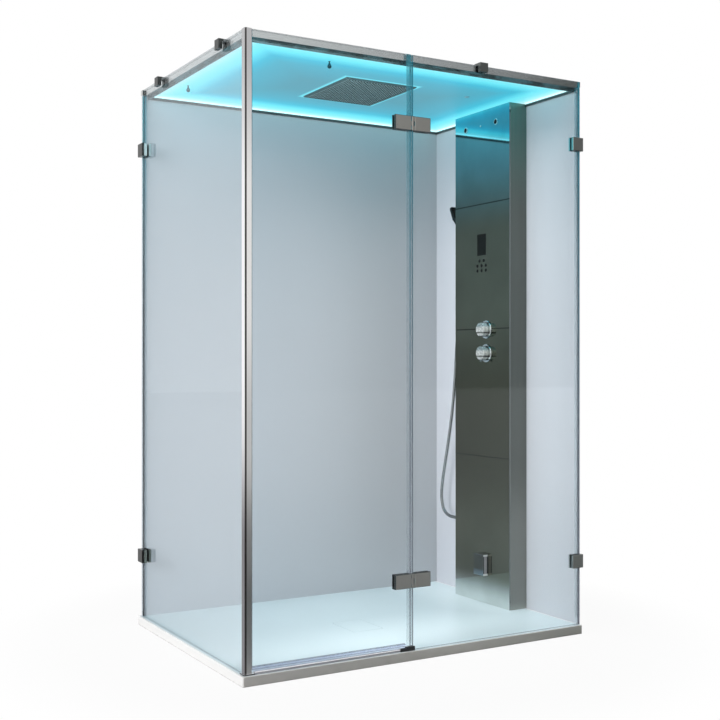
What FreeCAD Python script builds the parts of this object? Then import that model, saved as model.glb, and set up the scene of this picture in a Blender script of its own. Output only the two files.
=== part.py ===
"""Steam shower cabin: glass walls on a low tray, hinged door, lit ceiling with a rain head, service column.

Millimetres. X runs right along the front, Y from front to back, Z up. The origin is the centre of the
tray's underside. The door is closed and every control is at its rest position.
"""
import FreeCAD
import Part
import math
import os

Vector = FreeCAD.Vector

# ---------------------------------------------------------------- driving dimensions
TRAY_LENGTH = 1400.0            # X
TRAY_DEPTH = 1000.0             # Y
TRAY_HEIGHT = 32.0
TRAY_RIM = 45.0                 # flat rim that carries the glass
TRAY_FALL = 9.0                 # depth of the falls at the drain
TRAY_CORNER = 6.0               # radius of the tray's upright edges

FRAME_TOP = 2090.0              # top of the aluminium roof frame
RAIL_HEIGHT = 25.0
RAIL_DEPTH = 18.0
RAIL_WALL = 2.5
LIP_DROP = 12.0                 # how far the rail's inner lip hangs below the rail
LIP_THICKNESS = 3.0
CEILING_DROP = 20.0             # from the frame top to the ceiling's lower face

GLASS = 8.0
SIDE_INSET = 14.0               # tray edge to the left glass's outer face
FRONT_INSET = 16.0              # tray edge to the front glass's outer face
GLASS_TOP_GAP = 2.0             # glass stops this far below the frame top
RAIL_GAP = 0.5                  # glass to rail
POST = 24.0                     # square corner post
POST_WALL = 2.5
POST_GROOVE = 6.0               # groove along the post's outer corner
FOOT_HEIGHT = 4.0
FOOT_MARGIN = 4.0
FOOT_TOE = 9.0                  # how far the foot reaches along the glass on both sides

DOOR_WIDTH = 599.0
DOOR_CLEARANCE = 2.0            # post to the door glass
JOINT_GAP = 10.0                # between the door glass and the fixed glass
DOOR_LIFT = 15.0                # tray top to the door glass's lower edge
SEAL_BAND = 18.0                # width of the clear strips on the glass edges
SEAL_WALL = 1.0
SEAL_RUN = 0.5                  # play between a seal on the door and what it closes against

PANEL = 10.0                    # wall panels
BACK_SET = 20.0                 # tray's rear edge to the back panel's inner face
TRIM_HEIGHT = 10.0
TRIM_DEPTH = 4.0
STRIP_WIDTH = 9.0               # light strip
STRIP_HEIGHT = 5.0
CEILING_SKIN = 4.0
ROOF_SKIN = 3.0

HINGE_HEIGHT = 50.0
HINGE_LEAF = 64.0               # length of one plate
HINGE_PLATE = 9.0
HINGE_INNER_PLATE = 6.0
HINGE_KNUCKLE = 9.0             # barrel diameter
HINGE_SPACE = 16.0              # between the two plates
HINGE_END = 241.0               # hinge centre to the tray top, and to the frame top
HINGE_SCREW = 24.0              # glass edge to the screw block through it
SCREW_BLOCK = 11.0              # its diameter
PIN_DIAMETER = 4.0
PIN_PLAY = 0.05
BARREL_PLAY = 0.3

CLAMP = 50.0
CLAMP_OUTER = 20.0
CLAMP_INNER = 8.0
CLIP_WIDTH = 34.0
CLIP_PLATE = 14.0
CLIP_RISE = 7.0
CLIP_DROP = 26.0
CLIP_TONGUE = 14.0

COLUMN_WIDTH = 374.0            # Y
COLUMN_DEPTH = 86.0             # X, from the right panel
COLUMN_CENTRE_Y = 22.0
COLUMN_SHEET = 2.0
FACE_THICKNESS = 5.0
SEAM = 1.2                      # fine joints between the sheets of the face
SEAM_SHARES = (0.297, 0.556, 0.81)          # their heights, as shares of the column's height

DISPLAY_WIDTH = 60.0
DISPLAY_HEIGHT = 88.0
DISPLAY_Z = 1511.0
KEY_DIAMETER = 13.0
KEY_TRAVEL = 1.0
KEY_PROUD = 1.6
KEY_PITCH_Y = 29.0
KEY_PITCH_Z = 20.5
KEY_DROP = 22.0                 # the display's lower edge to the centres of the top row
KEY_PLAY = 0.3
KEY_DEPTH = 6.0

VALVE_Y = -10.0
THERMOSTAT_Z = 1159.0
DIVERTER_Z = 1062.0
KNOB_DIAMETER = 55.0
KNOB_LENGTH = 24.0
KNOB_NECK = 4.0
POINTER_BALL = 4.2              # radius of the ball on the lower knob
ESCUTCHEON_DIAMETER = 75.0
ESCUTCHEON_HEIGHT = 5.0
SPINDLE_DIAMETER = 12.0

STEAM_WIDTH = 66.0
STEAM_HEIGHT = 87.0
STEAM_DEPTH = 23.0
STEAM_Y = 14.0
STEAM_Z = 191.0

RAIN_X = 18.0
RAIN_Y = 6.0
RAIN_LENGTH = 306.0             # X
RAIN_WIDTH = 349.0              # Y
RAIN_PLATE = 5.0
RAIN_HOUSING_HEIGHT = 11.0
NOZZLE_DIAMETER = 4.0
NOZZLE_LENGTH = 2.5
NOZZLE_PITCH = 36.0
NOZZLE_BORDER = 20.0            # no nozzles nearer to the plate's edge than this
PIPE_DIAMETER = 15.0
PIPE_BEND = 11.0

DRAIN_X = -20.0
DRAIN_Y = -45.0
COVER_LENGTH = 124.0            # X
COVER_WIDTH = 170.0             # Y
COVER_THICKNESS = 4.0
COVER_PLAY = 1.5
WASTE_HOLE = 45.0               # radius of the tray's waste hole
WASTE_BORE = 20.0               # radius of the waste's outlet
WASTE_LENGTH = 5.0              # straight length of the outlet

HOSE_DIAMETER = 14.0
HOSE_SETBACK = 48.0             # hose and hand shower, in front of the right panel
HANDSET_BEHIND = 19.0           # the upright bar's axis, behind the column's rear side
HANDSET_FOOT_Z = 1500.0
HANDSET_BAR = 20.0
HANDSET_GRIP = 120.0            # upright part, from the foot to the neck
HANDSET_HEAD = 80.0             # tilted part
HANDSET_TILT = 25.0             # degrees from upright, towards the back
HANDSET_WIDTH = 56.0
HANDSET_THICKNESS = 16.0
HANDSET_TAIL = 20.0             # round tail for the hose nut
OUTLET_Z = 350.0
HOLDER_RISE = 34.0              # the foot of the bar to the holder's underside
HOLDER_HEIGHT = 24.0
HOLDER_WALL = 3.5
HOLDER_PLATE = 20.0             # radius
HOLDER_MOUTH = 14.0
# the hose between the tail and the outlet: behind the column's rear side, height, offset to the left
HOSE_COURSE = ((19.0, 1455.0, 0.0), (17.5, 1395.0, 1.0), (22.0, 1300.0, 2.0), (32.0, 1190.0, 2.0),
               (44.0, 1080.0, 2.0), (55.0, 960.0, 1.0), (74.0, 830.0, 0.0), (102.0, 700.0, 0.0),
               (129.0, 595.0, 0.0), (150.0, 515.0, 0.0), (164.0, 440.0, 0.0), (150.0, 376.0, 0.0),
               (109.0, 351.5, 0.0), (61.0, 350.0, 0.0))

SPIGOT = 20.0                   # diameter of the outlet's spigot
OUTLET_REACH = 22.0
HOLDER_PLAY = 0.4

RISER_BEHIND = 32.0             # riser's axis in front of the right panel
RISER_Y = 60.0
ROOF_PIPE_RISE = 14.0           # pipe's axis above the frame
CEILING_PLAY = 2.0              # round the pipe where it passes the ceiling and the roof
JET_INSETS = ((408.0, 178.0), (112.0, 748.0))       # from the tray's left and front edges
JET_RADIUS = 7.5
JET_DROP = 25.0
LAMP_DROP = 62.0                # column lamps below the top of the face
LAMP_SPREAD = 104.0             # each lamp from the probe between them
LAMP_SHIFT = 7.0                # the probe behind the column's centre line
LAMP_LENS = 9.0                 # radius
LAMP_RING = 12.5                # radius
LAMP_BODY = 8.0                 # radius of the part that passes through the face
LAMP_DEPTH = 14.0
PROBE_RADIUS = 4.0
CAP_SETBACK = 271.0             # ceiling cap, from the right panel
CAP_INSET = 368.0               # and from the tray's front edge
CAP_RADIUS = 10.0
CAP_HEIGHT = 1.2
THRESHOLD_HEIGHT = 9.0
THRESHOLD_DEPTH = 24.0
CLIP_LEFT_YS = (-288.0, 290.0)
CLIP_FRONT_SETBACK = 457.0      # from the right panel
INLET_RADIUS = 9.3              # tapped bore of the hot and cold unions
INLET_DEPTH = 16.0
INLET_SPREAD = 60.0             # union above the thermostat, and below the diverter
SLOT_WIDTH = 40.0               # slot in the wall panel behind the valve block
SLOT_MARGIN = 42.0              # slot beyond each union's axis
FOOT_HALF = 20.0                # half the height of the block's feet
INLET_UNION = 14.0              # radius of the unions
UNION_LENGTH = 22.0
VALVE_BODY = 52.0               # width of the valve block
VALVE_OVERHANG = 75.0           # block beyond each spindle
RISER_START = 60.0              # the riser's foot above the thermostat
RISER_SOCKET = 12.0             # the socket above that
UNIT_MARGIN = 20.0              # control unit round the keys
UNIT_DEPTH = 32.0
FLANGE = 20.0                   # return flanges of the column's sides
CABLE_HOLE = 12.5               # radius of the bore in the cable gland
CABLE_ROOM = 1.5                # the holes below the gland are this much larger
GLAND_RADIUS = 19.0
GLAND_HEIGHT = 12.0
GLAND_BEHIND = 60.0             # the gland's axis behind the riser's
GENERATOR_LOW = 420.0
GENERATOR_HEIGHT = 430.0
RECESS_DEPTH = 10.0             # drain cover's top to the floor under its pads

# ---------------------------------------------------------------- places worked out from them
LEFT = -TRAY_LENGTH / 2
RIGHT = TRAY_LENGTH / 2
FRONT = -TRAY_DEPTH / 2
BACK = TRAY_DEPTH / 2
GLASS_X = LEFT + SIDE_INSET                 # outer face of the left glass
GLASS_Y = FRONT + FRONT_INSET               # outer face of the front glass
BACK_FACE = BACK - BACK_SET                 # inner face of the back panel
RAIL_BOTTOM = FRAME_TOP - RAIL_HEIGHT
CEILING_Z = FRAME_TOP - CEILING_DROP
GLASS_TOP = FRAME_TOP - GLASS_TOP_GAP
POST_RIGHT = GLASS_X + POST
POST_REAR = GLASS_Y + POST
RAIL_LEFT_OUT = GLASS_X + GLASS + RAIL_GAP
RAIL_LEFT_IN = RAIL_LEFT_OUT + RAIL_DEPTH
RAIL_FRONT_OUT = GLASS_Y + GLASS + RAIL_GAP
RAIL_FRONT_IN = RAIL_FRONT_OUT + RAIL_DEPTH
DOOR_LEFT = POST_RIGHT + DOOR_CLEARANCE
DOOR_RIGHT = DOOR_LEFT + DOOR_WIDTH
FIXED_LEFT = DOOR_RIGHT + JOINT_GAP
HINGE_X = DOOR_RIGHT + JOINT_GAP / 2
HINGE_Y = GLASS_Y - HINGE_PLATE / 2
DOOR_BOTTOM = TRAY_HEIGHT + DOOR_LIFT
HINGE_ZS = (TRAY_HEIGHT + HINGE_END, FRAME_TOP - HINGE_END)
CLIP_FRONT_X = RIGHT - CLIP_FRONT_SETBACK
COLUMN_X = RIGHT - COLUMN_DEPTH             # front plane of the column's mirror face
COLUMN_FRONT_Y = COLUMN_CENTRE_Y - COLUMN_WIDTH / 2
COLUMN_REAR_Y = COLUMN_CENTRE_Y + COLUMN_WIDTH / 2
SEAM_ZS = [TRAY_HEIGHT + share * (CEILING_Z - STRIP_HEIGHT - TRAY_HEIGHT) for share in SEAM_SHARES]
FACE_BACK = COLUMN_X + FACE_THICKNESS
HOSE_X = RIGHT - HOSE_SETBACK
HANDSET_Y = COLUMN_REAR_Y + HANDSET_BEHIND
KEY_TOP_Z = DISPLAY_Z - DISPLAY_HEIGHT / 2 - KEY_DROP
JET_PLACES = [(LEFT + x, FRONT + y) for x, y in JET_INSETS]
LAMP_Z = CEILING_Z - STRIP_HEIGHT - LAMP_DROP
PROBE_Y = COLUMN_CENTRE_Y + LAMP_SHIFT
LAMP_YS = (PROBE_Y - LAMP_SPREAD, PROBE_Y + LAMP_SPREAD)
CAP_PLACE = (RIGHT - CAP_SETBACK, FRONT + CAP_INSET)
RISER_X = RIGHT - RISER_BEHIND
GLAND_Y = RISER_Y + GLAND_BEHIND
ROOF_PIPE_Z = FRAME_TOP + ROOF_PIPE_RISE
INLET_ZS = (DIVERTER_Z - INLET_SPREAD, THERMOSTAT_Z + INLET_SPREAD)      # cold below, hot above
RECESS_FLOOR = TRAY_HEIGHT - TRAY_FALL - RECESS_DEPTH

KEY_PLACES = [(COLUMN_CENTRE_Y + y * KEY_PITCH_Y, KEY_TOP_Z - row * KEY_PITCH_Z)
              for row, columns in enumerate(((0.5, -0.5), (1, 0, -1), (1, 0, -1)))
              for y in columns]


# ---------------------------------------------------------------- small helpers
def box(x0, x1, y0, y1, z0, z1):
    return Part.makeBox(x1 - x0, y1 - y0, z1 - z0, Vector(x0, y0, z0))


def rod(radius, start, end):
    """A round bar from one point to another."""
    start, end = Vector(*start), Vector(*end)
    return Part.makeCylinder(radius, (end - start).Length, start, end - start)


def upright(x0, x1, y0, y1, z0, z1, radius):
    """A box whose four upright edges are rounded."""
    solid = box(x0, x1, y0, y1, z0, z1)
    edges = [e for e in solid.Edges if abs(e.tangentAt(e.FirstParameter).z) > 0.99]
    return solid.makeFillet(radius, edges)


def softened(solid, size):
    """The same solid with every edge chamfered."""
    return solid.makeChamfer(size, solid.Edges)


def profile(points, along, length):
    """A closed outline, pushed out along a direction."""
    wire = Part.makePolygon([Vector(*p) for p in points] + [Vector(*points[0])])
    return Part.Face(wire).extrude(Vector(*along) * length)


def turned(points, base, axis):
    """A body of revolution about an axis: points are (distance along the axis, radius)."""
    axis = Vector(*axis).normalize()
    side = axis.cross(Vector(0, 0, 1))
    if side.Length < 0.5:
        side = Vector(1, 0, 0)
    side.normalize()
    base = Vector(*base)
    places = [base + axis * a + side * r for a, r in points]
    wire = Part.makePolygon(places + [places[0]])
    return Part.Face(wire).revolve(base, axis, 360)


def frustum(low, high, low_z, high_z):
    """A solid between two rectangles at two heights; each is (x0, x1, y0, y1)."""
    wires = []
    for (x0, x1, y0, y1), z in ((low, low_z), (high, high_z)):
        corners = [Vector(x0, y0, z), Vector(x1, y0, z), Vector(x1, y1, z), Vector(x0, y1, z)]
        wires.append(Part.makePolygon(corners + corners[:1]))
    return Part.makeLoft(wires, True, True)


def joined(solids):
    whole = solids[0]
    for solid in solids[1:]:
        whole = whole.fuse(solid)
    return whole.removeSplitter()


def group(solids):
    return Part.makeCompound(solids)


def bent_path(points, share=0.45, radius=None):
    """Straight runs joined by tangent arcs, each as large as its two runs allow."""
    points = [Vector(*p) for p in points]
    edges, radii = [], []
    last = points[0]
    for before, corner, after in zip(points, points[1:], points[2:]):
        inward, outward = (corner - before), (after - corner)
        turn = inward.getAngle(outward)
        short = min(inward.Length, outward.Length)
        bend = radius or share * short / math.tan(turn / 2)
        setback = bend * math.tan(turn / 2)
        start = corner - inward.normalize() * setback
        end = corner + outward.normalize() * setback
        centre_way = (outward - inward).normalize()
        middle = corner + centre_way * (bend / math.cos(turn / 2) - bend)
        if (start - last).Length > 1e-6:
            edges.append(Part.LineSegment(last, start).toShape())
        edges.append(Part.Arc(start, middle, end).toShape())
        last = end
        radii.append(bend)
    edges.append(Part.LineSegment(last, points[-1]).toShape())
    return Part.Wire(edges), radii


def tube(path, diameter):
    start = path.OrderedEdges[0]
    circle = Part.Circle(start.valueAt(start.FirstParameter),
                         start.tangentAt(start.FirstParameter), diameter / 2)
    return path.makePipeShell([Part.Wire(circle.toShape())], True, True)


# ---------------------------------------------------------------- tray and waste
def shower_tray():
    slab = upright(LEFT, RIGHT, FRONT, BACK, 0, TRAY_HEIGHT, TRAY_CORNER)
    top_edges = [e for e in slab.Edges if e.BoundBox.ZMin > TRAY_HEIGHT - 0.01]
    slab = slab.makeFillet(2.0, top_edges)
    flat = (DRAIN_X - COVER_LENGTH / 2 - COVER_PLAY, DRAIN_X + COVER_LENGTH / 2 + COVER_PLAY,
            DRAIN_Y - COVER_WIDTH / 2 - COVER_PLAY, DRAIN_Y + COVER_WIDTH / 2 + COVER_PLAY)
    rim = (LEFT + TRAY_RIM, RIGHT - TRAY_RIM, FRONT + TRAY_RIM, BACK - TRAY_RIM)
    falls = frustum(flat, rim, TRAY_HEIGHT - TRAY_FALL, TRAY_HEIGHT)
    recess = box(*flat, RECESS_FLOOR, TRAY_HEIGHT)
    hole = Part.makeCylinder(WASTE_HOLE, TRAY_HEIGHT, Vector(DRAIN_X, DRAIN_Y, 0))
    return slab.cut(falls).cut(recess).cut(hole)


def waste_body():
    """Flanged waste that drops into the tray's hole, with a cross bar against hair."""
    bore, wall = WASTE_BORE, 3.0
    shape = turned([(0, bore), (0, bore + wall), (2, bore + wall), (RECESS_FLOOR - 4, WASTE_HOLE - 1),
                    (RECESS_FLOOR, WASTE_HOLE - 1), (RECESS_FLOOR, WASTE_HOLE + 6),
                    (RECESS_FLOOR + 2, WASTE_HOLE + 6), (RECESS_FLOOR + 2, WASTE_HOLE - 6),
                    (RECESS_FLOOR - 3, WASTE_HOLE - 6), (WASTE_LENGTH, bore + 1), (WASTE_LENGTH, bore)],
                   (DRAIN_X, DRAIN_Y, 0), (0, 0, 1))
    bars = [box(DRAIN_X - WASTE_HOLE + 8, DRAIN_X + WASTE_HOLE - 8, DRAIN_Y + y - 1.5, DRAIN_Y + y + 1.5,
                RECESS_FLOOR - 2, RECESS_FLOOR + 1) for y in (-14, 0, 14)]
    ring = turned([(RECESS_FLOOR - 2, WASTE_HOLE - 10), (RECESS_FLOOR - 2, WASTE_HOLE - 5),
                   (RECESS_FLOOR + 1, WASTE_HOLE - 5), (RECESS_FLOOR + 1, WASTE_HOLE - 10)],
                  (DRAIN_X, DRAIN_Y, 0), (0, 0, 1))
    return joined([shape, ring] + bars)


def drain_cover():
    """Flush plate on four pads; water runs in round its edge."""
    top = TRAY_HEIGHT - TRAY_FALL
    plate = upright(DRAIN_X - COVER_LENGTH / 2, DRAIN_X + COVER_LENGTH / 2,
                    DRAIN_Y - COVER_WIDTH / 2, DRAIN_Y + COVER_WIDTH / 2,
                    top - COVER_THICKNESS, top, 4.0)
    reach_x, reach_y = COVER_LENGTH / 2 - 8, COVER_WIDTH / 2 - 8
    pads = [Part.makeCylinder(4, top - COVER_THICKNESS - RECESS_FLOOR,
                              Vector(DRAIN_X + sx * reach_x, DRAIN_Y + sy * reach_y, RECESS_FLOOR))
            for sx in (-1, 1) for sy in (-1, 1)]
    return joined([plate] + pads)


# ---------------------------------------------------------------- frame
def corner_post():
    outer = box(GLASS_X, POST_RIGHT, GLASS_Y, POST_REAR, TRAY_HEIGHT + FOOT_HEIGHT, FRAME_TOP)
    inner = box(GLASS_X + POST_WALL + POST_GROOVE / 2, POST_RIGHT - POST_WALL,
                GLASS_Y + POST_WALL + POST_GROOVE / 2, POST_REAR - POST_WALL,
                TRAY_HEIGHT, FRAME_TOP - POST_WALL)
    side = POST_GROOVE / 2
    groove = profile([(GLASS_X - 1, GLASS_Y - 1, 0), (GLASS_X + side, GLASS_Y - 1, 0),
                      (GLASS_X + side, GLASS_Y + side, 0), (GLASS_X - 1, GLASS_Y + side, 0)],
                     (0, 0, 1), FRAME_TOP + 1)
    return outer.cut(inner).cut(groove)


def post_foot():
    """Plate under the post; its toe along the left side is slotted for the glass."""
    plate = upright(GLASS_X - FOOT_MARGIN, POST_RIGHT + FOOT_TOE, GLASS_Y - FOOT_MARGIN,
                    POST_REAR + FOOT_TOE, TRAY_HEIGHT, TRAY_HEIGHT + FOOT_HEIGHT, 2.0)
    return plate.cut(box(GLASS_X, GLASS_X + GLASS, POST_REAR, POST_REAR + FOOT_TOE + 1,
                         TRAY_HEIGHT - 1, TRAY_HEIGHT + FOOT_HEIGHT + 1))


def rail_outline():
    """Section of a glass-side rail: distance from the glass face and height."""
    t = RAIL_WALL
    return [(0, RAIL_BOTTOM), (RAIL_DEPTH - LIP_THICKNESS, RAIL_BOTTOM),
            (RAIL_DEPTH - LIP_THICKNESS, RAIL_BOTTOM - LIP_DROP), (RAIL_DEPTH, RAIL_BOTTOM - LIP_DROP),
            (RAIL_DEPTH, RAIL_BOTTOM + t), (RAIL_DEPTH - t, RAIL_BOTTOM + t), (t, RAIL_BOTTOM + t),
            (t, FRAME_TOP - t), (RAIL_DEPTH, FRAME_TOP - t), (RAIL_DEPTH, FRAME_TOP), (0, FRAME_TOP)]


def left_rail():
    points = [(RAIL_LEFT_OUT + d, POST_REAR, z) for d, z in rail_outline()]
    return profile(points, (0, 1, 0), BACK_FACE - POST_REAR)


def front_rail():
    points = [(POST_RIGHT, RAIL_FRONT_OUT + d, z) for d, z in rail_outline()]
    rail = profile(points, (1, 0, 0), RIGHT - POST_RIGHT)
    return rail.cut(box(POST_RIGHT - 1, RAIL_LEFT_IN, POST_REAR, RAIL_FRONT_IN + 1,
                        RAIL_BOTTOM - LIP_DROP - 1, FRAME_TOP + 1))


def back_rail():
    return box(GLASS_X, RIGHT, BACK_FACE, BACK, CEILING_Z, FRAME_TOP)


def right_rail():
    return box(RIGHT, RIGHT + PANEL, RAIL_FRONT_OUT, BACK, CEILING_Z, FRAME_TOP)


# ---------------------------------------------------------------- walls
def back_wall_panel():
    return box(GLASS_X, RIGHT, BACK_FACE, BACK_FACE + PANEL, TRAY_HEIGHT, CEILING_Z)


def right_wall_panel():
    """Two wall sheets that meet behind the column, cut back there to leave a slot for both supplies."""
    cold, hot = INLET_ZS
    slot_front, slot_rear = VALVE_Y - SLOT_WIDTH / 2, VALVE_Y + SLOT_WIDTH / 2
    slot_low, slot_high = cold - SLOT_MARGIN, hot + SLOT_MARGIN
    x0, x1 = RIGHT, RIGHT + PANEL
    return group([box(x0, x1, RAIL_FRONT_OUT + 4, slot_front, 0, CEILING_Z),
                  box(x0, x1, slot_rear, BACK, 0, CEILING_Z),
                  box(x0, x1, slot_front, slot_rear, 0, slot_low),
                  box(x0, x1, slot_front, slot_rear, slot_high, CEILING_Z)])


def wall_trim():
    """Slim profiles along the tops of the wall panels and in the corner between them."""
    top, low = CEILING_Z - STRIP_HEIGHT, CEILING_Z - STRIP_HEIGHT - TRIM_HEIGHT
    back = box(RAIL_LEFT_IN, RIGHT - TRIM_DEPTH, BACK_FACE - TRIM_DEPTH, BACK_FACE, low, top)
    ahead = box(RIGHT - TRIM_DEPTH, RIGHT, RAIL_FRONT_IN, COLUMN_FRONT_Y, low, top)
    behind = box(RIGHT - TRIM_DEPTH, RIGHT, COLUMN_REAR_Y, BACK_FACE, low, top)
    return group([back, ahead, behind])


# ---------------------------------------------------------------- ceiling
def ceiling_panel():
    panel = box(RAIL_LEFT_IN, RIGHT, RAIL_FRONT_IN, BACK_FACE, CEILING_Z, CEILING_Z + CEILING_SKIN)
    head = box(RAIN_X - RAIN_LENGTH / 2 + 8, RAIN_X + RAIN_LENGTH / 2 - 8,
               RAIN_Y - RAIN_WIDTH / 2 + 8, RAIN_Y + RAIN_WIDTH / 2 - 8,
               CEILING_Z - 1, CEILING_Z + CEILING_SKIN + 1)
    riser = rod(PIPE_DIAMETER / 2 + CEILING_PLAY, (RISER_X, RISER_Y, CEILING_Z - 1),
                (RISER_X, RISER_Y, CEILING_Z + CEILING_SKIN + 1))
    cable = rod(CABLE_HOLE + CABLE_ROOM, (RISER_X, GLAND_Y, CEILING_Z - 1),
                (RISER_X, GLAND_Y, CEILING_Z + CEILING_SKIN + 1))
    return panel.cut(head).cut(riser).cut(cable)


def roof_cover():
    top = FRAME_TOP - 1
    panel = box(RAIL_LEFT_IN, RIGHT, RAIL_FRONT_IN, BACK_FACE, top - ROOF_SKIN, top)
    holes = [rod(PIPE_DIAMETER / 2 + CEILING_PLAY, (x, y, top - ROOF_SKIN - 1), (x, y, top + 1))
             for x, y in ((RISER_X, RISER_Y), (RAIN_X, RAIN_Y))]
    holes.append(rod(CABLE_HOLE + CABLE_ROOM, (RISER_X, GLAND_Y, top - ROOF_SKIN - 1),
                     (RISER_X, GLAND_Y, top + 1)))
    for hole in holes:
        panel = panel.cut(hole)
    return panel


def cable_gland():
    """Collar on the roof over the column, through which the mains cable enters."""
    top = FRAME_TOP - 1
    return turned([(0, CABLE_HOLE), (0, GLAND_RADIUS), (GLAND_HEIGHT - 2, GLAND_RADIUS),
                   (GLAND_HEIGHT, GLAND_RADIUS - 2), (GLAND_HEIGHT, CABLE_HOLE)],
                  (RISER_X, GLAND_Y, top), (0, 0, 1))


def light_strips():
    """Four strips of light round the ceiling, tucked behind the rails' lips and over the wall trims."""
    z0, z1 = CEILING_Z - STRIP_HEIGHT, CEILING_Z
    w = STRIP_WIDTH
    left = box(RAIL_LEFT_IN, RAIL_LEFT_IN + w, RAIL_FRONT_IN + w, BACK_FACE - w, z0, z1)
    front = box(RAIL_LEFT_IN, RIGHT, RAIL_FRONT_IN, RAIL_FRONT_IN + w, z0, z1)
    back = box(RAIL_LEFT_IN, RIGHT, BACK_FACE - w, BACK_FACE, z0, z1)
    ahead = box(RIGHT - w, RIGHT, RAIL_FRONT_IN + w, COLUMN_FRONT_Y, z0, z1)
    behind = box(RIGHT - w, RIGHT, COLUMN_REAR_Y, BACK_FACE - w, z0, z1)
    return group([left, front, back, ahead, behind])


def rain_head_plate():
    x0, x1 = RAIN_X - RAIN_LENGTH / 2, RAIN_X + RAIN_LENGTH / 2
    y0, y1 = RAIN_Y - RAIN_WIDTH / 2, RAIN_Y + RAIN_WIDTH / 2
    bevel = 4.0
    plate = frustum((x0 + bevel, x1 - bevel, y0 + bevel, y1 - bevel), (x0, x1, y0, y1),
                    CEILING_Z - RAIN_PLATE, CEILING_Z)
    return plate


def rain_head_housing():
    """Shallow pan above the plate, with a socket for the supply pipe."""
    x0, x1 = RAIN_X - RAIN_LENGTH / 2 + 10, RAIN_X + RAIN_LENGTH / 2 - 10
    y0, y1 = RAIN_Y - RAIN_WIDTH / 2 + 10, RAIN_Y + RAIN_WIDTH / 2 - 10
    pan = upright(x0, x1, y0, y1, CEILING_Z, CEILING_Z + RAIN_HOUSING_HEIGHT, 8)
    hollow = upright(x0 + 2, x1 - 2, y0 + 2, y1 - 2, CEILING_Z, CEILING_Z + RAIN_HOUSING_HEIGHT - 2, 6)
    hole = rod(PIPE_DIAMETER / 2, (RAIN_X, RAIN_Y, CEILING_Z + RAIN_HOUSING_HEIGHT - 3),
               (RAIN_X, RAIN_Y, CEILING_Z + RAIN_HOUSING_HEIGHT + 1))
    return pan.cut(hollow).cut(hole)


def rain_nozzles():
    """Soft nozzles in rows under the plate."""
    nozzles = []
    columns = int((RAIN_LENGTH - 2 * NOZZLE_BORDER) / NOZZLE_PITCH)
    rows = int((RAIN_WIDTH - 2 * NOZZLE_BORDER) / NOZZLE_PITCH)
    for i in range(columns + 1):
        for j in range(rows + 1):
            place = Vector(RAIN_X + (i - columns / 2) * NOZZLE_PITCH, RAIN_Y + (j - rows / 2) * NOZZLE_PITCH,
                           CEILING_Z - RAIN_PLATE - NOZZLE_LENGTH)
            nozzles.append(Part.makeCone(NOZZLE_DIAMETER / 4, NOZZLE_DIAMETER / 2, NOZZLE_LENGTH, place))
    return group(nozzles)


def rain_supply_pipe():
    """From the valve block up the column, over the roof and down into the rain head."""
    points = [(RISER_X, RISER_Y, THERMOSTAT_Z + RISER_START), (RISER_X, RISER_Y, ROOF_PIPE_Z),
              (RAIN_X, RISER_Y, ROOF_PIPE_Z), (RAIN_X, RAIN_Y, ROOF_PIPE_Z),
              (RAIN_X, RAIN_Y, CEILING_Z + RAIN_HOUSING_HEIGHT - 2)]
    path, _ = bent_path(points, radius=PIPE_BEND)
    return tube(path, PIPE_DIAMETER)


def ceiling_jets():
    """Two small spray jets that hang like drops: a thin neck, and a round end below it."""
    r = JET_RADIUS
    round_end = [(JET_DROP - r + r * math.sin(math.radians(a)), r * math.cos(math.radians(a)))
                 for a in range(-20, 91, 11)]
    drop = [(0, 0), (0, 0.55 * r), (1.0, 0.55 * r), (1.6, 0.3 * r), (0.25 * JET_DROP, 0.38 * r)] + round_end
    return group([turned(drop, (x, y, CEILING_Z), (0, 0, -1)) for x, y in JET_PLACES])


def ceiling_cap():
    """Small blanking cap in the ceiling."""
    h, r = CAP_HEIGHT, CAP_RADIUS
    return turned([(0, 0), (0, r), (h / 2, r), (h, r - h), (h, 0)], CAP_PLACE + (CEILING_Z,), (0, 0, -1))


# ---------------------------------------------------------------- glass
def screw_holes(sign):
    """Where each hinge's screw block passes through the glass: -1 for the door, 1 for the fixed glass."""
    edge = DOOR_RIGHT if sign < 0 else FIXED_LEFT
    x = edge + sign * HINGE_SCREW
    return [rod(SCREW_BLOCK / 2 + 0.5, (x, GLASS_Y - 1, z), (x, GLASS_Y + GLASS + 1, z)) for z in HINGE_ZS]


def left_glass():
    return box(GLASS_X, GLASS_X + GLASS, POST_REAR, BACK_FACE, TRAY_HEIGHT + SEAL_WALL, GLASS_TOP)


def front_glass():
    pane = box(FIXED_LEFT, RIGHT, GLASS_Y, GLASS_Y + GLASS, TRAY_HEIGHT + SEAL_WALL, GLASS_TOP)
    for hole in screw_holes(1):
        pane = pane.cut(hole)
    return pane


def door_glass():
    pane = box(DOOR_LEFT, DOOR_RIGHT, GLASS_Y, GLASS_Y + GLASS, DOOR_BOTTOM, GLASS_TOP)
    for hole in screw_holes(-1):
        pane = pane.cut(hole)
    return pane


def strip_pair(x0, x1, y0, y1, z0, z1, across):
    """The two legs of a clear strip, one on each face of the glass."""
    if across == "y":
        return [box(x0, x1, y0 - SEAL_WALL, y0, z0, z1), box(x0, x1, y1, y1 + SEAL_WALL, z0, z1)]
    return [box(x0 - SEAL_WALL, x0, y0, y1, z0, z1), box(x1, x1 + SEAL_WALL, y0, y1, z0, z1)]


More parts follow.
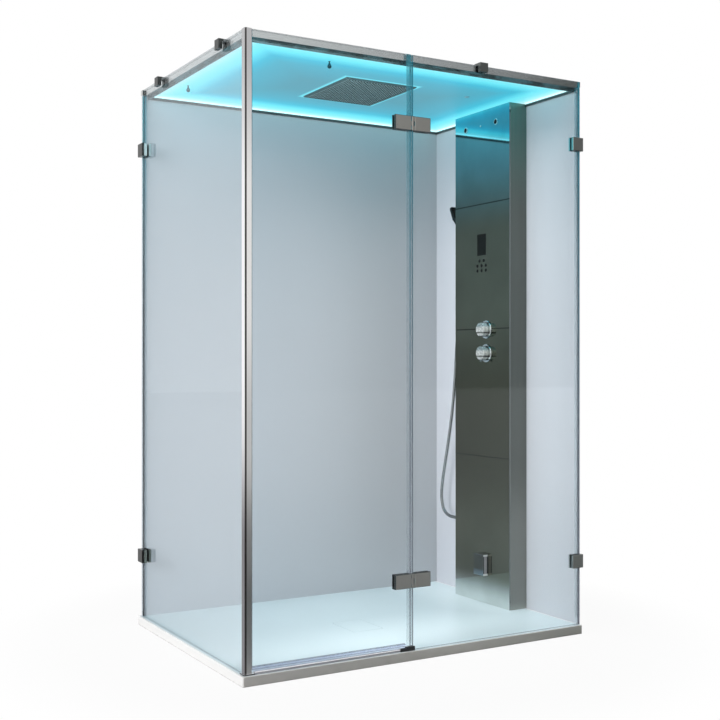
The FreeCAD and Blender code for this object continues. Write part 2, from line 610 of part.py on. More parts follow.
def left_glass_seals():
    """Clear strip at the wall edge, held by the clamps, and a thin bead under the glass."""
    low, high = TRAY_HEIGHT + SEAL_WALL, RAIL_BOTTOM
    legs = []
    for z0, z1 in between_clamps(low, high):
        legs += strip_pair(GLASS_X, GLASS_X + GLASS, BACK_FACE - SEAL_BAND, BACK_FACE, z0, z1, "x")
    bead = box(GLASS_X, GLASS_X + GLASS, POST_REAR + FOOT_TOE, BACK_FACE,
               TRAY_HEIGHT, TRAY_HEIGHT + SEAL_WALL)
    return group(legs + [bead])


def between_clamps(low, high):
    """Heights left free by the clamps."""
    marks = [low]
    for z in HINGE_ZS:
        marks += [z - CLAMP / 2, z + CLAMP / 2]
    marks.append(high)
    return list(zip(marks[0::2], marks[1::2]))


def front_glass_seals():
    low, high = TRAY_HEIGHT + SEAL_WALL, RAIL_BOTTOM
    legs = []
    for z0, z1 in between_clamps(low, high):
        legs += strip_pair(RIGHT - SEAL_BAND, RIGHT, GLASS_Y, GLASS_Y + GLASS, z0, z1, "y")
    bead = box(FIXED_LEFT, RIGHT, GLASS_Y, GLASS_Y + GLASS, TRAY_HEIGHT, TRAY_HEIGHT + SEAL_WALL)
    return group(legs + [bead])


def door_edge_seals():
    """Clear strip over the hinge edge, broken at the hinges, and a magnet strip on the closing edge."""
    solids = []
    marks = [DOOR_BOTTOM]
    for z in HINGE_ZS:
        marks += [z - HINGE_HEIGHT / 2 - 1, z + HINGE_HEIGHT / 2 + 1]
    marks.append(GLASS_TOP)
    reach = JOINT_GAP - 2 * SEAL_RUN
    for z0, z1 in zip(marks[0::2], marks[1::2]):
        top = min(z1, RAIL_BOTTOM - 1) if z1 == GLASS_TOP else z1
        solids.append(box(DOOR_RIGHT - SEAL_BAND, DOOR_RIGHT, GLASS_Y - SEAL_WALL, GLASS_Y, z0, z1))
        solids.append(box(DOOR_RIGHT, DOOR_RIGHT + reach, GLASS_Y + 1, GLASS_Y + GLASS - 2, z0, top))
    solids.append(box(DOOR_LEFT - DOOR_CLEARANCE + SEAL_RUN, DOOR_LEFT, GLASS_Y + 1, GLASS_Y + GLASS - 1,
                      DOOR_BOTTOM, RAIL_BOTTOM - 1))
    return group(solids)


def door_bottom_seal():
    """Clear profile gripping the glass's lower edge, with a lip that sheds water."""
    drop = DOOR_LIFT - THRESHOLD_HEIGHT - SEAL_RUN
    y0, y1 = GLASS_Y - SEAL_WALL, GLASS_Y + GLASS + SEAL_WALL
    z = DOOR_BOTTOM
    points = [(DOOR_LEFT, y0, z + 10), (DOOR_LEFT, y0, z - drop), (DOOR_LEFT, y0 + 3, z - drop),
              (DOOR_LEFT, y0 + 5, z - 1.5), (DOOR_LEFT, y1, z - 1.5), (DOOR_LEFT, y1, z + 10),
              (DOOR_LEFT, y1 - SEAL_WALL, z + 10), (DOOR_LEFT, y1 - SEAL_WALL, z),
              (DOOR_LEFT, y0 + SEAL_WALL, z), (DOOR_LEFT, y0 + SEAL_WALL, z + 10)]
    return profile(points, (1, 0, 0), DOOR_RIGHT - SEAL_BAND - 1 - DOOR_LEFT)


def threshold_bar():
    """Sill under the door: a low rise with a sloping inner side."""
    x0, x1 = POST_RIGHT + FOOT_TOE, FIXED_LEFT
    y0 = GLASS_Y - 4
    h = TRAY_HEIGHT
    sill = profile([(x0, y0, h), (x0, y0, h + THRESHOLD_HEIGHT - 2), (x0, y0 + 2, h + THRESHOLD_HEIGHT),
                    (x0, y0 + 9, h + THRESHOLD_HEIGHT), (x0, y0 + THRESHOLD_DEPTH - 4, h + 3),
                    (x0, y0 + THRESHOLD_DEPTH, h + 1), (x0, y0 + THRESHOLD_DEPTH, h)], (1, 0, 0), x1 - x0)
    return sill


# ---------------------------------------------------------------- hinges
def hinge_leaf(z, sign):
    """One leaf: outer plate with its knuckles, inner plate, and the screw block through the glass."""
    half = HINGE_HEIGHT / 2
    near, far = HINGE_X + sign * HINGE_SPACE / 2, HINGE_X + sign * (HINGE_SPACE / 2 + HINGE_LEAF)
    x0, x1 = min(near, far), max(near, far)
    outer = box(x0, x1, GLASS_Y - HINGE_PLATE, GLASS_Y, z - half, z + half)
    face_edges = [e for e in outer.Edges
                  if abs(e.BoundBox.YMin - outer.BoundBox.YMin) < 1e-6
                  and abs(e.BoundBox.YMax - outer.BoundBox.YMin) < 1e-6]
    outer = outer.makeChamfer(1.0, face_edges)
    inner = box(x0, x1, GLASS_Y + GLASS, GLASS_Y + GLASS + HINGE_INNER_PLATE, z - half, z + half)
    edge = DOOR_RIGHT if sign < 0 else FIXED_LEFT
    x = edge + sign * HINGE_SCREW
    block = rod(SCREW_BLOCK / 2, (x, GLASS_Y - 1, z), (x, GLASS_Y + GLASS + 1, z))
    third = HINGE_HEIGHT / 3
    if sign < 0:
        spans = [(z - third / 2 + BARREL_PLAY, z + third / 2 - BARREL_PLAY)]
        bore = PIN_DIAMETER / 2 + PIN_PLAY
    else:
        spans = [(z - half, z - third / 2), (z + third / 2, z + half)]
        bore = PIN_DIAMETER / 2
    parts = [outer, inner, block]
    for z0, z1 in spans:
        parts.append(rod(HINGE_KNUCKLE / 2, (HINGE_X, HINGE_Y, z0), (HINGE_X, HINGE_Y, z1)))
        x2, x3 = min(HINGE_X, near + sign), max(HINGE_X, near + sign)
        parts.append(box(x2, x3, HINGE_Y - 2.5, HINGE_Y + 2.5, z0, z1))
    leaf = joined(parts)
    return leaf.cut(rod(bore, (HINGE_X, HINGE_Y, z - half - 1), (HINGE_X, HINGE_Y, z + half + 1)))


def hinge_pins():
    half = HINGE_HEIGHT / 2
    return group([rod(PIN_DIAMETER / 2, (HINGE_X, HINGE_Y, z - half), (HINGE_X, HINGE_Y, z + half))
                  for z in HINGE_ZS])


# ---------------------------------------------------------------- clamps and clips
def wall_clamps():
    """Square clamps that hold the glass edges to the wall panels: outer block, inner plate, screw, foot."""
    solids = []
    for z in HINGE_ZS:
        z0, z1 = z - CLAMP / 2, z + CLAMP / 2
        outer = box(GLASS_X - CLAMP_OUTER, GLASS_X, BACK_FACE - CLAMP, BACK_FACE, z0, z1)
        outer = outer.makeChamfer(1.5, [e for e in outer.Edges
                                        if e.BoundBox.XMax < GLASS_X - CLAMP_OUTER + 0.01])
        inner = box(GLASS_X + GLASS, GLASS_X + GLASS + CLAMP_INNER, BACK_FACE - CLAMP, BACK_FACE, z0, z1)
        solids += [outer, inner]
        outer = box(RIGHT - CLAMP + PANEL, RIGHT + PANEL, GLASS_Y - CLAMP_OUTER / 2, GLASS_Y, z0, z1)
        outer = outer.makeChamfer(1.5, [e for e in outer.Edges
                                        if e.BoundBox.YMax < GLASS_Y - CLAMP_OUTER / 2 + 0.01])
        foot = box(RIGHT, RIGHT + PANEL, GLASS_Y, RAIL_FRONT_OUT + 4, z0, z1)
        inner = box(RIGHT - CLAMP + PANEL, RIGHT, GLASS_Y + GLASS, GLASS_Y + GLASS + CLAMP_INNER, z0, z1)
        solids += [joined([outer, foot]), inner]
    return group(solids)


def top_clips():
    """Blocks that hook over the rails and press the glass against them."""
    half = CLIP_WIDTH / 2
    top = FRAME_TOP + CLIP_RISE
    solids = []
    for y in CLIP_LEFT_YS:
        block = box(GLASS_X - CLIP_PLATE, GLASS_X, y - half, y + half, FRAME_TOP - CLIP_DROP, top)
        hook = box(GLASS_X - 1, RAIL_LEFT_OUT + CLIP_TONGUE, y - half, y + half, FRAME_TOP, top)
        solids.append(joined([block, hook]))
    x = CLIP_FRONT_X
    block = box(x - half, x + half, GLASS_Y - CLIP_PLATE, GLASS_Y, FRAME_TOP - CLIP_DROP, top)
    hook = box(x - half, x + half, GLASS_Y - 1, RAIL_FRONT_OUT + CLIP_TONGUE, FRAME_TOP, top)
    solids.append(joined([block, hook]))
    return group(solids)


# ---------------------------------------------------------------- column
def column_housing():
    """Folded sheet: two sides and a back flange each, open behind against the wall panel."""
    z0, z1 = TRAY_HEIGHT, CEILING_Z - STRIP_HEIGHT
    solids = []
    for y, inward in ((COLUMN_FRONT_Y, 1), (COLUMN_REAR_Y, -1)):
        ya, yb = sorted((y, y + inward * COLUMN_SHEET))
        side = box(FACE_BACK, RIGHT, ya, yb, z0, z1)
        ya, yb = sorted((y, y + inward * FLANGE))
        flange = box(RIGHT - COLUMN_SHEET, RIGHT, ya, yb, z0, z1)
        front = box(FACE_BACK, FACE_BACK + COLUMN_SHEET, ya, yb, z0, z1)
        solids.append(joined([side, flange, front]))
    shelf = box(FACE_BACK + 4, RIGHT, COLUMN_FRONT_Y + COLUMN_SHEET, COLUMN_REAR_Y - COLUMN_SHEET,
                z0 + 8, z0 + 10)
    whole = joined(solids + [shelf])
    hole = rod(SPIGOT / 2 + 1, (HOSE_X, COLUMN_REAR_Y - 5, OUTLET_Z), (HOSE_X, COLUMN_REAR_Y + 5, OUTLET_Z))
    return whole.cut(hole)


def column_face():
    z0, z1 = TRAY_HEIGHT, CEILING_Z - STRIP_HEIGHT
    plate = box(COLUMN_X, FACE_BACK, COLUMN_FRONT_Y, COLUMN_REAR_Y, z0, z1)
    cuts = [box(COLUMN_X - 1, FACE_BACK + 1, COLUMN_CENTRE_Y - DISPLAY_WIDTH / 2,
                COLUMN_CENTRE_Y + DISPLAY_WIDTH / 2, DISPLAY_Z - DISPLAY_HEIGHT / 2,
                DISPLAY_Z + DISPLAY_HEIGHT / 2)]
    for y, z in KEY_PLACES:
        cuts.append(rod(KEY_DIAMETER / 2 + KEY_PLAY, (COLUMN_X - 1, y, z), (FACE_BACK + 1, y, z)))
    for z in (THERMOSTAT_Z, DIVERTER_Z):
        cuts.append(rod(SPINDLE_DIAMETER / 2 + 4, (COLUMN_X - 1, VALVE_Y, z), (FACE_BACK + 1, VALVE_Y, z)))
    cuts.append(rod(10, (COLUMN_X - 1, STEAM_Y, STEAM_Z), (FACE_BACK + 1, STEAM_Y, STEAM_Z)))
    for y, radius in [(y, LAMP_BODY) for y in LAMP_YS] + [(PROBE_Y, PROBE_RADIUS - 1)]:
        cuts.append(rod(radius + 0.4, (COLUMN_X - 1, y, LAMP_Z), (FACE_BACK + 1, y, LAMP_Z)))
    half = SEAM / 2
    for z in SEAM_ZS:
        cuts.append(box(COLUMN_X - 1, COLUMN_X + SEAM, COLUMN_FRONT_Y - 1, COLUMN_REAR_Y + 1,
                        z - half, z + half))
    for cut in cuts:
        plate = plate.cut(cut)
    return plate


def column_lamps():
    """Two small ringed lamps set through the top of the face, and a temperature probe between them."""
    r, lens, body = LAMP_RING, LAMP_LENS, LAMP_BODY
    lamp = [(-LAMP_DEPTH, 0), (-LAMP_DEPTH, body), (0, body), (0, r), (1.5, r), (2.5, r - 1.2),
            (2.5, lens + 0.6), (1.4, lens), (2.0, 0)]
    stem, pip = PROBE_RADIUS - 1, PROBE_RADIUS
    probe = [(-LAMP_DEPTH / 2, 0), (-LAMP_DEPTH / 2, stem), (0, stem), (0, pip), (1.2, pip), (2.4, pip - 1.4),
             (2.8, 0)]
    return group([turned(lamp, (COLUMN_X, y, LAMP_Z), (-1, 0, 0)) for y in LAMP_YS]
                 + [turned(probe, (COLUMN_X, PROBE_Y, LAMP_Z), (-1, 0, 0))])


def display_window():
    return box(COLUMN_X + 0.5, FACE_BACK, COLUMN_CENTRE_Y - DISPLAY_WIDTH / 2,
               COLUMN_CENTRE_Y + DISPLAY_WIDTH / 2, DISPLAY_Z - DISPLAY_HEIGHT / 2,
               DISPLAY_Z + DISPLAY_HEIGHT / 2)


def control_unit():
    """Electronics box behind the display and keys, with a recess for the keys' travel."""
    low = KEY_TOP_Z - 2 * KEY_PITCH_Z - UNIT_MARGIN
    high = DISPLAY_Z + DISPLAY_HEIGHT / 2 + 12
    half = KEY_PITCH_Y + UNIT_MARGIN
    y0, y1 = COLUMN_CENTRE_Y - half, COLUMN_CENTRE_Y + half
    unit = box(FACE_BACK, FACE_BACK + UNIT_DEPTH, y0, y1, low, high)
    recess = box(FACE_BACK - 1, FACE_BACK + KEY_DEPTH, y0 + 6, y1 - 6, low + 6,
                 DISPLAY_Z - DISPLAY_HEIGHT / 2 - 4)
    return unit.cut(recess)


def key(place):
    """Round key with a slightly domed cap and a flange behind the face plate."""
    y, z = place
    back = FACE_THICKNESS + 0.3 + 1.2
    return turned([(-KEY_PROUD, 0), (-KEY_PROUD, KEY_DIAMETER / 2 - 1.5), (-KEY_PROUD + 1, KEY_DIAMETER / 2),
                   (FACE_THICKNESS + 0.3, KEY_DIAMETER / 2), (FACE_THICKNESS + 0.3, KEY_DIAMETER / 2 + 1.2),
                   (back, KEY_DIAMETER / 2 + 1.2), (back, 0)], (COLUMN_X, y, z), (1, 0, 0))


def valve_escutcheons():
    solids = []
    for z in (THERMOSTAT_Z, DIVERTER_Z):
        r, h = ESCUTCHEON_DIAMETER / 2, ESCUTCHEON_HEIGHT
        solids.append(turned([(0, SPINDLE_DIAMETER / 2 + 1), (0, r), (h - 2, r), (h, r - 2),
                              (h, SPINDLE_DIAMETER / 2 + 1)], (COLUMN_X, VALVE_Y, z), (-1, 0, 0)))
    return group(solids)


def knob(z):
    """Turned knob on a narrower neck, hollow at the back for the spindle."""
    r, neck = KNOB_DIAMETER / 2, KNOB_DIAMETER / 2 - 6
    start = ESCUTCHEON_HEIGHT + 0.5
    end = start + KNOB_NECK + KNOB_LENGTH
    bore = SPINDLE_DIAMETER / 2 + 0.05
    return turned([(start, bore), (start, neck), (start + KNOB_NECK, neck), (start + KNOB_NECK, r - 1),
                   (start + KNOB_NECK + 1, r), (end - 1.5, r), (end, r - 1.5), (end, 0),
                   (end - 8, 0), (end - 8, bore)], (COLUMN_X, VALVE_Y, z), (-1, 0, 0))


def diverter_knob():
    """The lower knob also has a ball on a short neck that points at the outlet chosen."""
    body = knob(DIVERTER_Z)
    x = COLUMN_X - ESCUTCHEON_HEIGHT - KNOB_NECK - KNOB_LENGTH + 6
    low = DIVERTER_Z - KNOB_DIAMETER / 2
    neck = rod(POINTER_BALL / 2, (x, VALVE_Y, low + 3), (x, VALVE_Y, low - POINTER_BALL))
    ball = Part.makeSphere(POINTER_BALL, Vector(x, VALVE_Y, low - POINTER_BALL))
    return joined([body, neck, ball])


def valve_block():
    """Brass body behind the face, on two feet, with two spindles and a socket for the riser."""
    x0, x1 = FACE_BACK + 8, RIGHT - UNION_LENGTH
    body = softened(box(x0, x1, VALVE_Y - VALVE_BODY / 2, VALVE_Y + VALVE_BODY / 2,
                        DIVERTER_Z - VALVE_OVERHANG, THERMOSTAT_Z + VALVE_OVERHANG), 3)
    parts = [body]
    end = ESCUTCHEON_HEIGHT + KNOB_NECK + KNOB_LENGTH - 12
    for z in (THERMOSTAT_Z, DIVERTER_Z):
        parts.append(rod(SPINDLE_DIAMETER / 2, (x0 + 1, VALVE_Y, z), (COLUMN_X - end, VALVE_Y, z)))
    middle = (DIVERTER_Z + THERMOSTAT_Z) / 2
    for side in (-1, 1):
        y0, y1 = sorted((VALVE_Y + side * SLOT_WIDTH / 2, VALVE_Y + side * VALVE_BODY / 2))
        parts.append(box(x1 - 1, RIGHT, y0, y1, middle - FOOT_HALF, middle + FOOT_HALF))
    foot = THERMOSTAT_Z + RISER_START
    arm = rod(9, (RISER_X, VALVE_Y + 20, foot - 15), (RISER_X, RISER_Y, foot - 15))
    socket = rod(11, (RISER_X, RISER_Y, foot - 26), (RISER_X, RISER_Y, foot + RISER_SOCKET))
    block = joined(parts + [arm, socket])
    return block.cut(rod(PIPE_DIAMETER / 2, (RISER_X, RISER_Y, foot),
                         (RISER_X, RISER_Y, foot + 2 * RISER_SOCKET)))


def inlet_unions():
    """Hot and cold unions between the valve block and the wall panel, tapped from behind."""
    return group([rod(INLET_UNION, (RIGHT - UNION_LENGTH, VALVE_Y, z), (RIGHT, VALVE_Y, z))
                  .cut(rod(INLET_RADIUS, (RIGHT - INLET_DEPTH, VALVE_Y, z), (RIGHT + 1, VALVE_Y, z)))
                  for z in INLET_ZS])


def steam_generator():
    """Boiler in a rounded casing, low in the column, with an outlet boss on its front side."""
    x0, x1 = FACE_BACK + 6, RIGHT - 6
    y0, y1 = COLUMN_FRONT_Y + 40, COLUMN_REAR_Y - 60
    casing = box(x0, x1, y0, y1, GENERATOR_LOW, GENERATOR_LOW + GENERATOR_HEIGHT)
    casing = casing.makeFillet(10, casing.Edges)
    legs = [box(x0 + 14, x1, y, y + 30, TRAY_HEIGHT + 10, GENERATOR_LOW + 20) for y in (y0 + 20, y1 - 50)]
    return joined([casing] + legs)


def steam_pipe():
    x = (FACE_BACK + RIGHT) / 2
    corners = [(x, STEAM_Y, GENERATOR_LOW), (x, STEAM_Y, STEAM_Z), (COLUMN_X - 2, STEAM_Y, STEAM_Z)]
    path, _ = bent_path(corners, radius=25.0)
    return tube(path, 18.0)


def steam_outlet():
    """Square deflector box, open underneath, that sends the steam down along the wall."""
    x0 = COLUMN_X - STEAM_DEPTH
    y0, y1 = STEAM_Y - STEAM_WIDTH / 2, STEAM_Y + STEAM_WIDTH / 2
    z0, z1 = STEAM_Z - STEAM_HEIGHT / 2, STEAM_Z + STEAM_HEIGHT / 2
    shell = box(x0, COLUMN_X, y0, y1, z0, z1)
    shell = shell.makeFillet(2.0, [e for e in shell.Edges if e.BoundBox.XMax < x0 + 0.01])
    hollow = box(x0 + 2.5, COLUMN_X + 1, y0 + 2.5, y1 - 2.5, z0 - 1, z1 - 2.5)
    fin = box(x0 + 2, COLUMN_X - 6, y0 + 2, y1 - 2, z0 + 26, z0 + 28)
    return joined([shell.cut(hollow), fin])


# ---------------------------------------------------------------- hand shower
TILT = math.radians(HANDSET_TILT)


def bar_section(along, wide, thick):
    """Rectangle across the hand shower, this far up its bent centre line."""
    grip = min(along, HANDSET_GRIP)
    past = max(0.0, along - HANDSET_GRIP)
    way = Vector(0, math.sin(TILT), math.cos(TILT)) if past else Vector(0, 0, 1)
    out = Vector(0, way.z, -way.y)
    centre = Vector(HOSE_X, HANDSET_Y, HANDSET_FOOT_Z + grip) + way * past
    corners = [centre + out * (thick / 2 * o) + Vector(wide / 2 * a, 0, 0)
               for a, o in ((-1, -1), (1, -1), (1, 1), (-1, 1))]
    return Part.makePolygon(corners + corners[:1])


def hand_shower():
    """Square bar that widens into a flat tilted head, with a round tail for the hose nut."""
    half = HANDSET_BAR
    length = HANDSET_GRIP + HANDSET_HEAD
    bar = Part.makeLoft([bar_section(18, half, half), bar_section(HANDSET_GRIP - 12, half, half)], True, True)
    neck = Part.makeLoft([bar_section(HANDSET_GRIP - 12, half, half),
                          bar_section(HANDSET_GRIP + 14, HANDSET_WIDTH - 8, HANDSET_THICKNESS)], True, True)
    head = Part.makeLoft([bar_section(HANDSET_GRIP + 14, HANDSET_WIDTH - 8, HANDSET_THICKNESS),
                          bar_section(HANDSET_GRIP + 24, HANDSET_WIDTH, HANDSET_THICKNESS),
                          bar_section(length, HANDSET_WIDTH, HANDSET_THICKNESS - 2)], True, True)
    tail = rod(HOSE_DIAMETER / 2 + 1.5, (HOSE_X, HANDSET_Y, HANDSET_FOOT_Z),
               (HOSE_X, HANDSET_Y, HANDSET_FOOT_Z + HANDSET_TAIL))
    return joined([bar, neck, head, tail])


def handset_holder():
    """Bracket on the column's rear side with an open cradle round the bar."""
    grip = HANDSET_BAR / 2 + HOLDER_PLAY
    wall = HOLDER_WALL
    z0 = HANDSET_FOOT_Z + HOLDER_RISE
    z1 = z0 + HOLDER_HEIGHT
    x, y = HOSE_X, HANDSET_Y
    cradle = upright(x - grip - wall, x + grip + wall, COLUMN_REAR_Y + 2, y + grip + wall, z0, z1, 3)
    slot = box(x - grip, x + grip, y - grip, y + grip, z0 - 1, z1 + 1)
    mouth = box(x - HOLDER_MOUTH / 2, x + HOLDER_MOUTH / 2, y, y + grip + wall + 1, z0 - 1, z1 + 1)
    plate = rod(HOLDER_PLATE, (x, COLUMN_REAR_Y, (z0 + z1) / 2), (x, COLUMN_REAR_Y + 3, (z0 + z1) / 2))
    return joined([cradle, plate]).cut(slot).cut(mouth)


def hose_outlet():
    """Round plate and spigot on the column's rear side, hidden from the front by the column."""
    y = COLUMN_REAR_Y
    return turned([(-6, 0), (-6, SPIGOT / 2), (0, SPIGOT / 2), (0, 24), (4, 24), (6, 20), (6, SPIGOT / 2),
                   (OUTLET_REACH, SPIGOT / 2), (OUTLET_REACH, 0)], (HOSE_X, y, OUTLET_Z), (0, 1, 0))


def hose_route():
    """Chosen by hand: down out of the hand shower's tail, behind the column, and round into the outlet."""
    return ([(HOSE_X, HANDSET_Y, HANDSET_FOOT_Z)]
            + [(HOSE_X - left, COLUMN_REAR_Y + behind, z) for behind, z, left in HOSE_COURSE]
            + [(HOSE_X, COLUMN_REAR_Y + OUTLET_REACH, OUTLET_Z)])


def shower_hose():
    path, radii = bent_path(hose_route())
    hose = tube(path, HOSE_DIAMETER)
    print("hose length %.1f, volume over section times length %.5f, least radius %.1f"
          % (path.Length, hose.Volume / (math.pi * HOSE_DIAMETER ** 2 / 4 * path.Length), min(radii)))
    print("hose radii", [round(r) for r in radii])
    return hose


NODES = {
    "shower_tray": shower_tray, "waste_body": waste_body, "drain_cover": drain_cover,
    "corner_post": corner_post, "post_foot": post_foot,
    "left_rail": left_rail, "front_rail": front_rail, "back_rail": back_rail, "right_rail": right_rail,
    "back_wall_panel": back_wall_panel, "right_wall_panel": right_wall_panel, "wall_trim": wall_trim,
    "ceiling_panel": ceiling_panel, "roof_cover": roof_cover, "cable_gland": cable_gland,
    "light_strips": light_strips,
    "rain_head_plate": rain_head_plate, "rain_head_housing": rain_head_housing, "rain_nozzles": rain_nozzles,
    "rain_supply_pipe": rain_supply_pipe,
    "ceiling_jets": ceiling_jets, "ceiling_cap": ceiling_cap,
    "left_glass": left_glass, "front_glass": front_glass, "door_glass": door_glass,
    "left_glass_seals": left_glass_seals, "front_glass_seals": front_glass_seals,
    "door_edge_seals": door_edge_seals, "door_bottom_seal": door_bottom_seal, "threshold_bar": threshold_bar,
    "hinge_fixed_leaves": lambda: group([hinge_leaf(z, 1) for z in HINGE_ZS]),
    "hinge_door_leaves": lambda: group([hinge_leaf(z, -1) for z in HINGE_ZS]),
    "hinge_pins": hinge_pins,
    "wall_clamps": wall_clamps, "top_clips": top_clips,
    "column_housing": column_housing, "column_face": column_face, "column_lamps": column_lamps,
    "display_window": display_window, "control_unit": control_unit,
    "valve_escutcheons": valve_escutcheons, "thermostat_knob": lambda: knob(THERMOSTAT_Z),
    "diverter_knob": diverter_knob, "valve_block": valve_block,
    "inlet_unions": inlet_unions,
    "steam_generator": steam_generator, "steam_pipe": steam_pipe, "steam_outlet": steam_outlet,
    "hand_shower": hand_shower, "handset_holder": handset_holder, "hose_outlet": hose_outlet,
    "shower_hose": shower_hose,
}
for number, place in enumerate(KEY_PLACES, 1):
    NODES["key_%d" % number] = lambda place=place: key(place)


def main():
    os.makedirs("parts", exist_ok=True)
    for name, make in NODES.items():
        shape = make()
        assert shape.isValid() and shape.Volume > 0, name
        shape.exportStep("parts/%s.step" % name)
        size = shape.BoundBox
        print("%-20s solids %3d volume %12.0f  x %7.1f %7.1f  y %7.1f %7.1f  z %7.1f %7.1f"
              % (name, len(shape.Solids), shape.Volume, size.XMin, size.XMax, size.YMin, size.YMax,
                 size.ZMin, size.ZMax))


main()
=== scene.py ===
# %% [markdown]
# # A steam shower cabin, dressed for its portrait
# The solids come from a CAD model: tray, glass, rails, hinges, ceiling, column. This script gives each of
# them a finish, adds the small forms that CAD leaves plain, and sets up the floor, the lamps and the camera.
# Everything is in metres, in the CAD frame: X along the front, Y towards the back wall, Z up.

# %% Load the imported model
import bmesh
import bpy
import math
from mathutils import Matrix, Vector

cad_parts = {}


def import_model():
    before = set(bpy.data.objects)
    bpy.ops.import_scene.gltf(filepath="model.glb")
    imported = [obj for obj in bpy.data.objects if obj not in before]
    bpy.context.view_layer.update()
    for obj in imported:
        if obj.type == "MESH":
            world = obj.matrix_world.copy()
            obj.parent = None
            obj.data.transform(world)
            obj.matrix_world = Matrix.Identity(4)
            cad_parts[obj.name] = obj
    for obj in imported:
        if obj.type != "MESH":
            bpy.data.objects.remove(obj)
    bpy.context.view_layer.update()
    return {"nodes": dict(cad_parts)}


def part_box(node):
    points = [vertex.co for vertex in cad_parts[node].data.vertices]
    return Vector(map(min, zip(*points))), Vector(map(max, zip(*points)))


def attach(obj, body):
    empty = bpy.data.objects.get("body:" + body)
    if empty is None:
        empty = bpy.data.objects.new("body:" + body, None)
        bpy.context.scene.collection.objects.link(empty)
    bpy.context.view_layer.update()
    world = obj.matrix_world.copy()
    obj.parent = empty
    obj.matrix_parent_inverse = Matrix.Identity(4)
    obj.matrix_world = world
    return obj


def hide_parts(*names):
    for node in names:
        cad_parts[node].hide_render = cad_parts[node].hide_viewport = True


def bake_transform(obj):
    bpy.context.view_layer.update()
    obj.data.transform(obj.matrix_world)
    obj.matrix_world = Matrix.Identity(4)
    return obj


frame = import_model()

NODES = frame["nodes"]
HALF_LENGTH, HALF_DEPTH = 0.700, 0.500      # of the tray, along X and Y
RAMP_TOP = 2.1                              # height at which a colour ramp over the whole cabin ends


# %% [markdown]
# ## Writing shader maths as ordinary arithmetic
# A procedural finish is a sum of masks and noises. Wired by hand, that is a wall of Math nodes. Here one
# small class wraps a socket, and every + - * on it adds the Math node for us, so a finish reads like a
# formula.

# %% Value and Finish
class Value:
    """A number or colour that changes over a surface."""

    def __init__(self, finish, socket):
        self.finish, self.socket = finish, socket

    def maths(self, operation, first, second=0.0):
        return self.finish.node("Math", {"operation": operation}, {0: first, 1: second})

    def __add__(self, other):
        return self.maths("ADD", self, other)

    def __radd__(self, other):
        return self.maths("ADD", other, self)

    def __sub__(self, other):
        return self.maths("SUBTRACT", self, other)

    def __rsub__(self, other):
        return self.maths("SUBTRACT", other, self)

    def __mul__(self, other):
        return self.maths("MULTIPLY", self, other)

    def __rmul__(self, other):
        return self.maths("MULTIPLY", other, self)

    def __abs__(self):
        return self.maths("ABSOLUTE", self)

    def least(self, other):
        return self.maths("MINIMUM", self, other)

    def most(self, other):
        return self.maths("MAXIMUM", self, other)


class Finish:
    """A material with one method that adds a node, and short names for the nodes used most."""

    def __init__(self, name):
        self.material = bpy.data.materials.new(name)
        self.material.use_nodes = True
        self.tree = self.material.node_tree
        self.tree.nodes.clear()
        self.output = self.tree.nodes.new("ShaderNodeOutputMaterial")
        spot = self.node("TexCoord", out="Object")
        self.spot = spot
        axes = self.node("SeparateXYZ", inputs={0: spot}, out=None)
        self.x, self.y, self.z = (Value(self, axes.outputs[i]) for i in range(3))

    def node(self, kind, settings=None, inputs=None, out=0):
        made = self.tree.nodes.new("ShaderNode" + kind)
        for key, value in (settings or {}).items():
            if key == "stops":
                ramp = made.color_ramp.elements
                while len(ramp) < len(value):
                    ramp.new(1.0)
                for element, (place, colour) in zip(ramp, value):
                    element.position, element.color = place, (*colour, 1.0)
            else:
                setattr(made, key, value)
        for key, value in (inputs or {}).items():
            self.feed(made.inputs[key], value)
        return made if out is None else Value(self, made.outputs[out])

    def feed(self, socket, value):
        if isinstance(value, Value):
            self.tree.links.new(value.socket, socket)
        elif isinstance(value, tuple) and socket.type == "RGBA":
            socket.default_value = (*value[:3], 1.0)
        else:
            socket.default_value = value

    def noise(self, scale, detail=3.0, stretch=(1.0, 1.0, 1.0)):
        """Soft noise from 0 to 1; stretch draws it out along an axis."""
        spot = self.node("Mapping", inputs={"Vector": self.spot, "Scale": stretch})
        return self.node("TexNoise", inputs={"Vector": spot, "Scale": scale, "Detail": detail})

    def ramp(self, value, start, end, stops):
        """Colours along a value that runs from start to end."""
        share = self.node("MapRange", inputs={"Value": value, "From Min": start, "From Max": end})
        return self.node("ValToRGB", {"stops": stops}, {0: share})

    def step(self, value, start, end):
        """0 before start, 1 after end, smooth between."""
        return self.node("MapRange", {"interpolation_type": "SMOOTHSTEP"},
                         {"Value": value, "From Min": start, "From Max": end})

    def mix(self, factor, first, second):
        return self.node("Mix", {"data_type": "RGBA"}, {0: factor, 6: first, 7: second}, out=2)

    def bump(self, height, strength, distance):
        return self.node("Bump", inputs={"Strength": strength, "Distance": distance, "Height": height})

    def principled(self, **sockets):
        """Socket names with _ for a space: Base_Color, Roughness, Metallic and so on."""
        return self.node("BsdfPrincipled",
                         inputs={name.replace("_", " "): value for name, value in sockets.items()})

    def end(self, shader):
        self.tree.links.new(shader.socket, self.output.inputs["Surface"])
        return self.material


def paint(material, *names):
    """Give CAD nodes a finish, leaving their meshes as they are."""
    for name in names:
        node = NODES[name]
        if not node.material_slots:
            node.data.materials.append(material)
        for slot in node.material_slots:
            slot.material = material


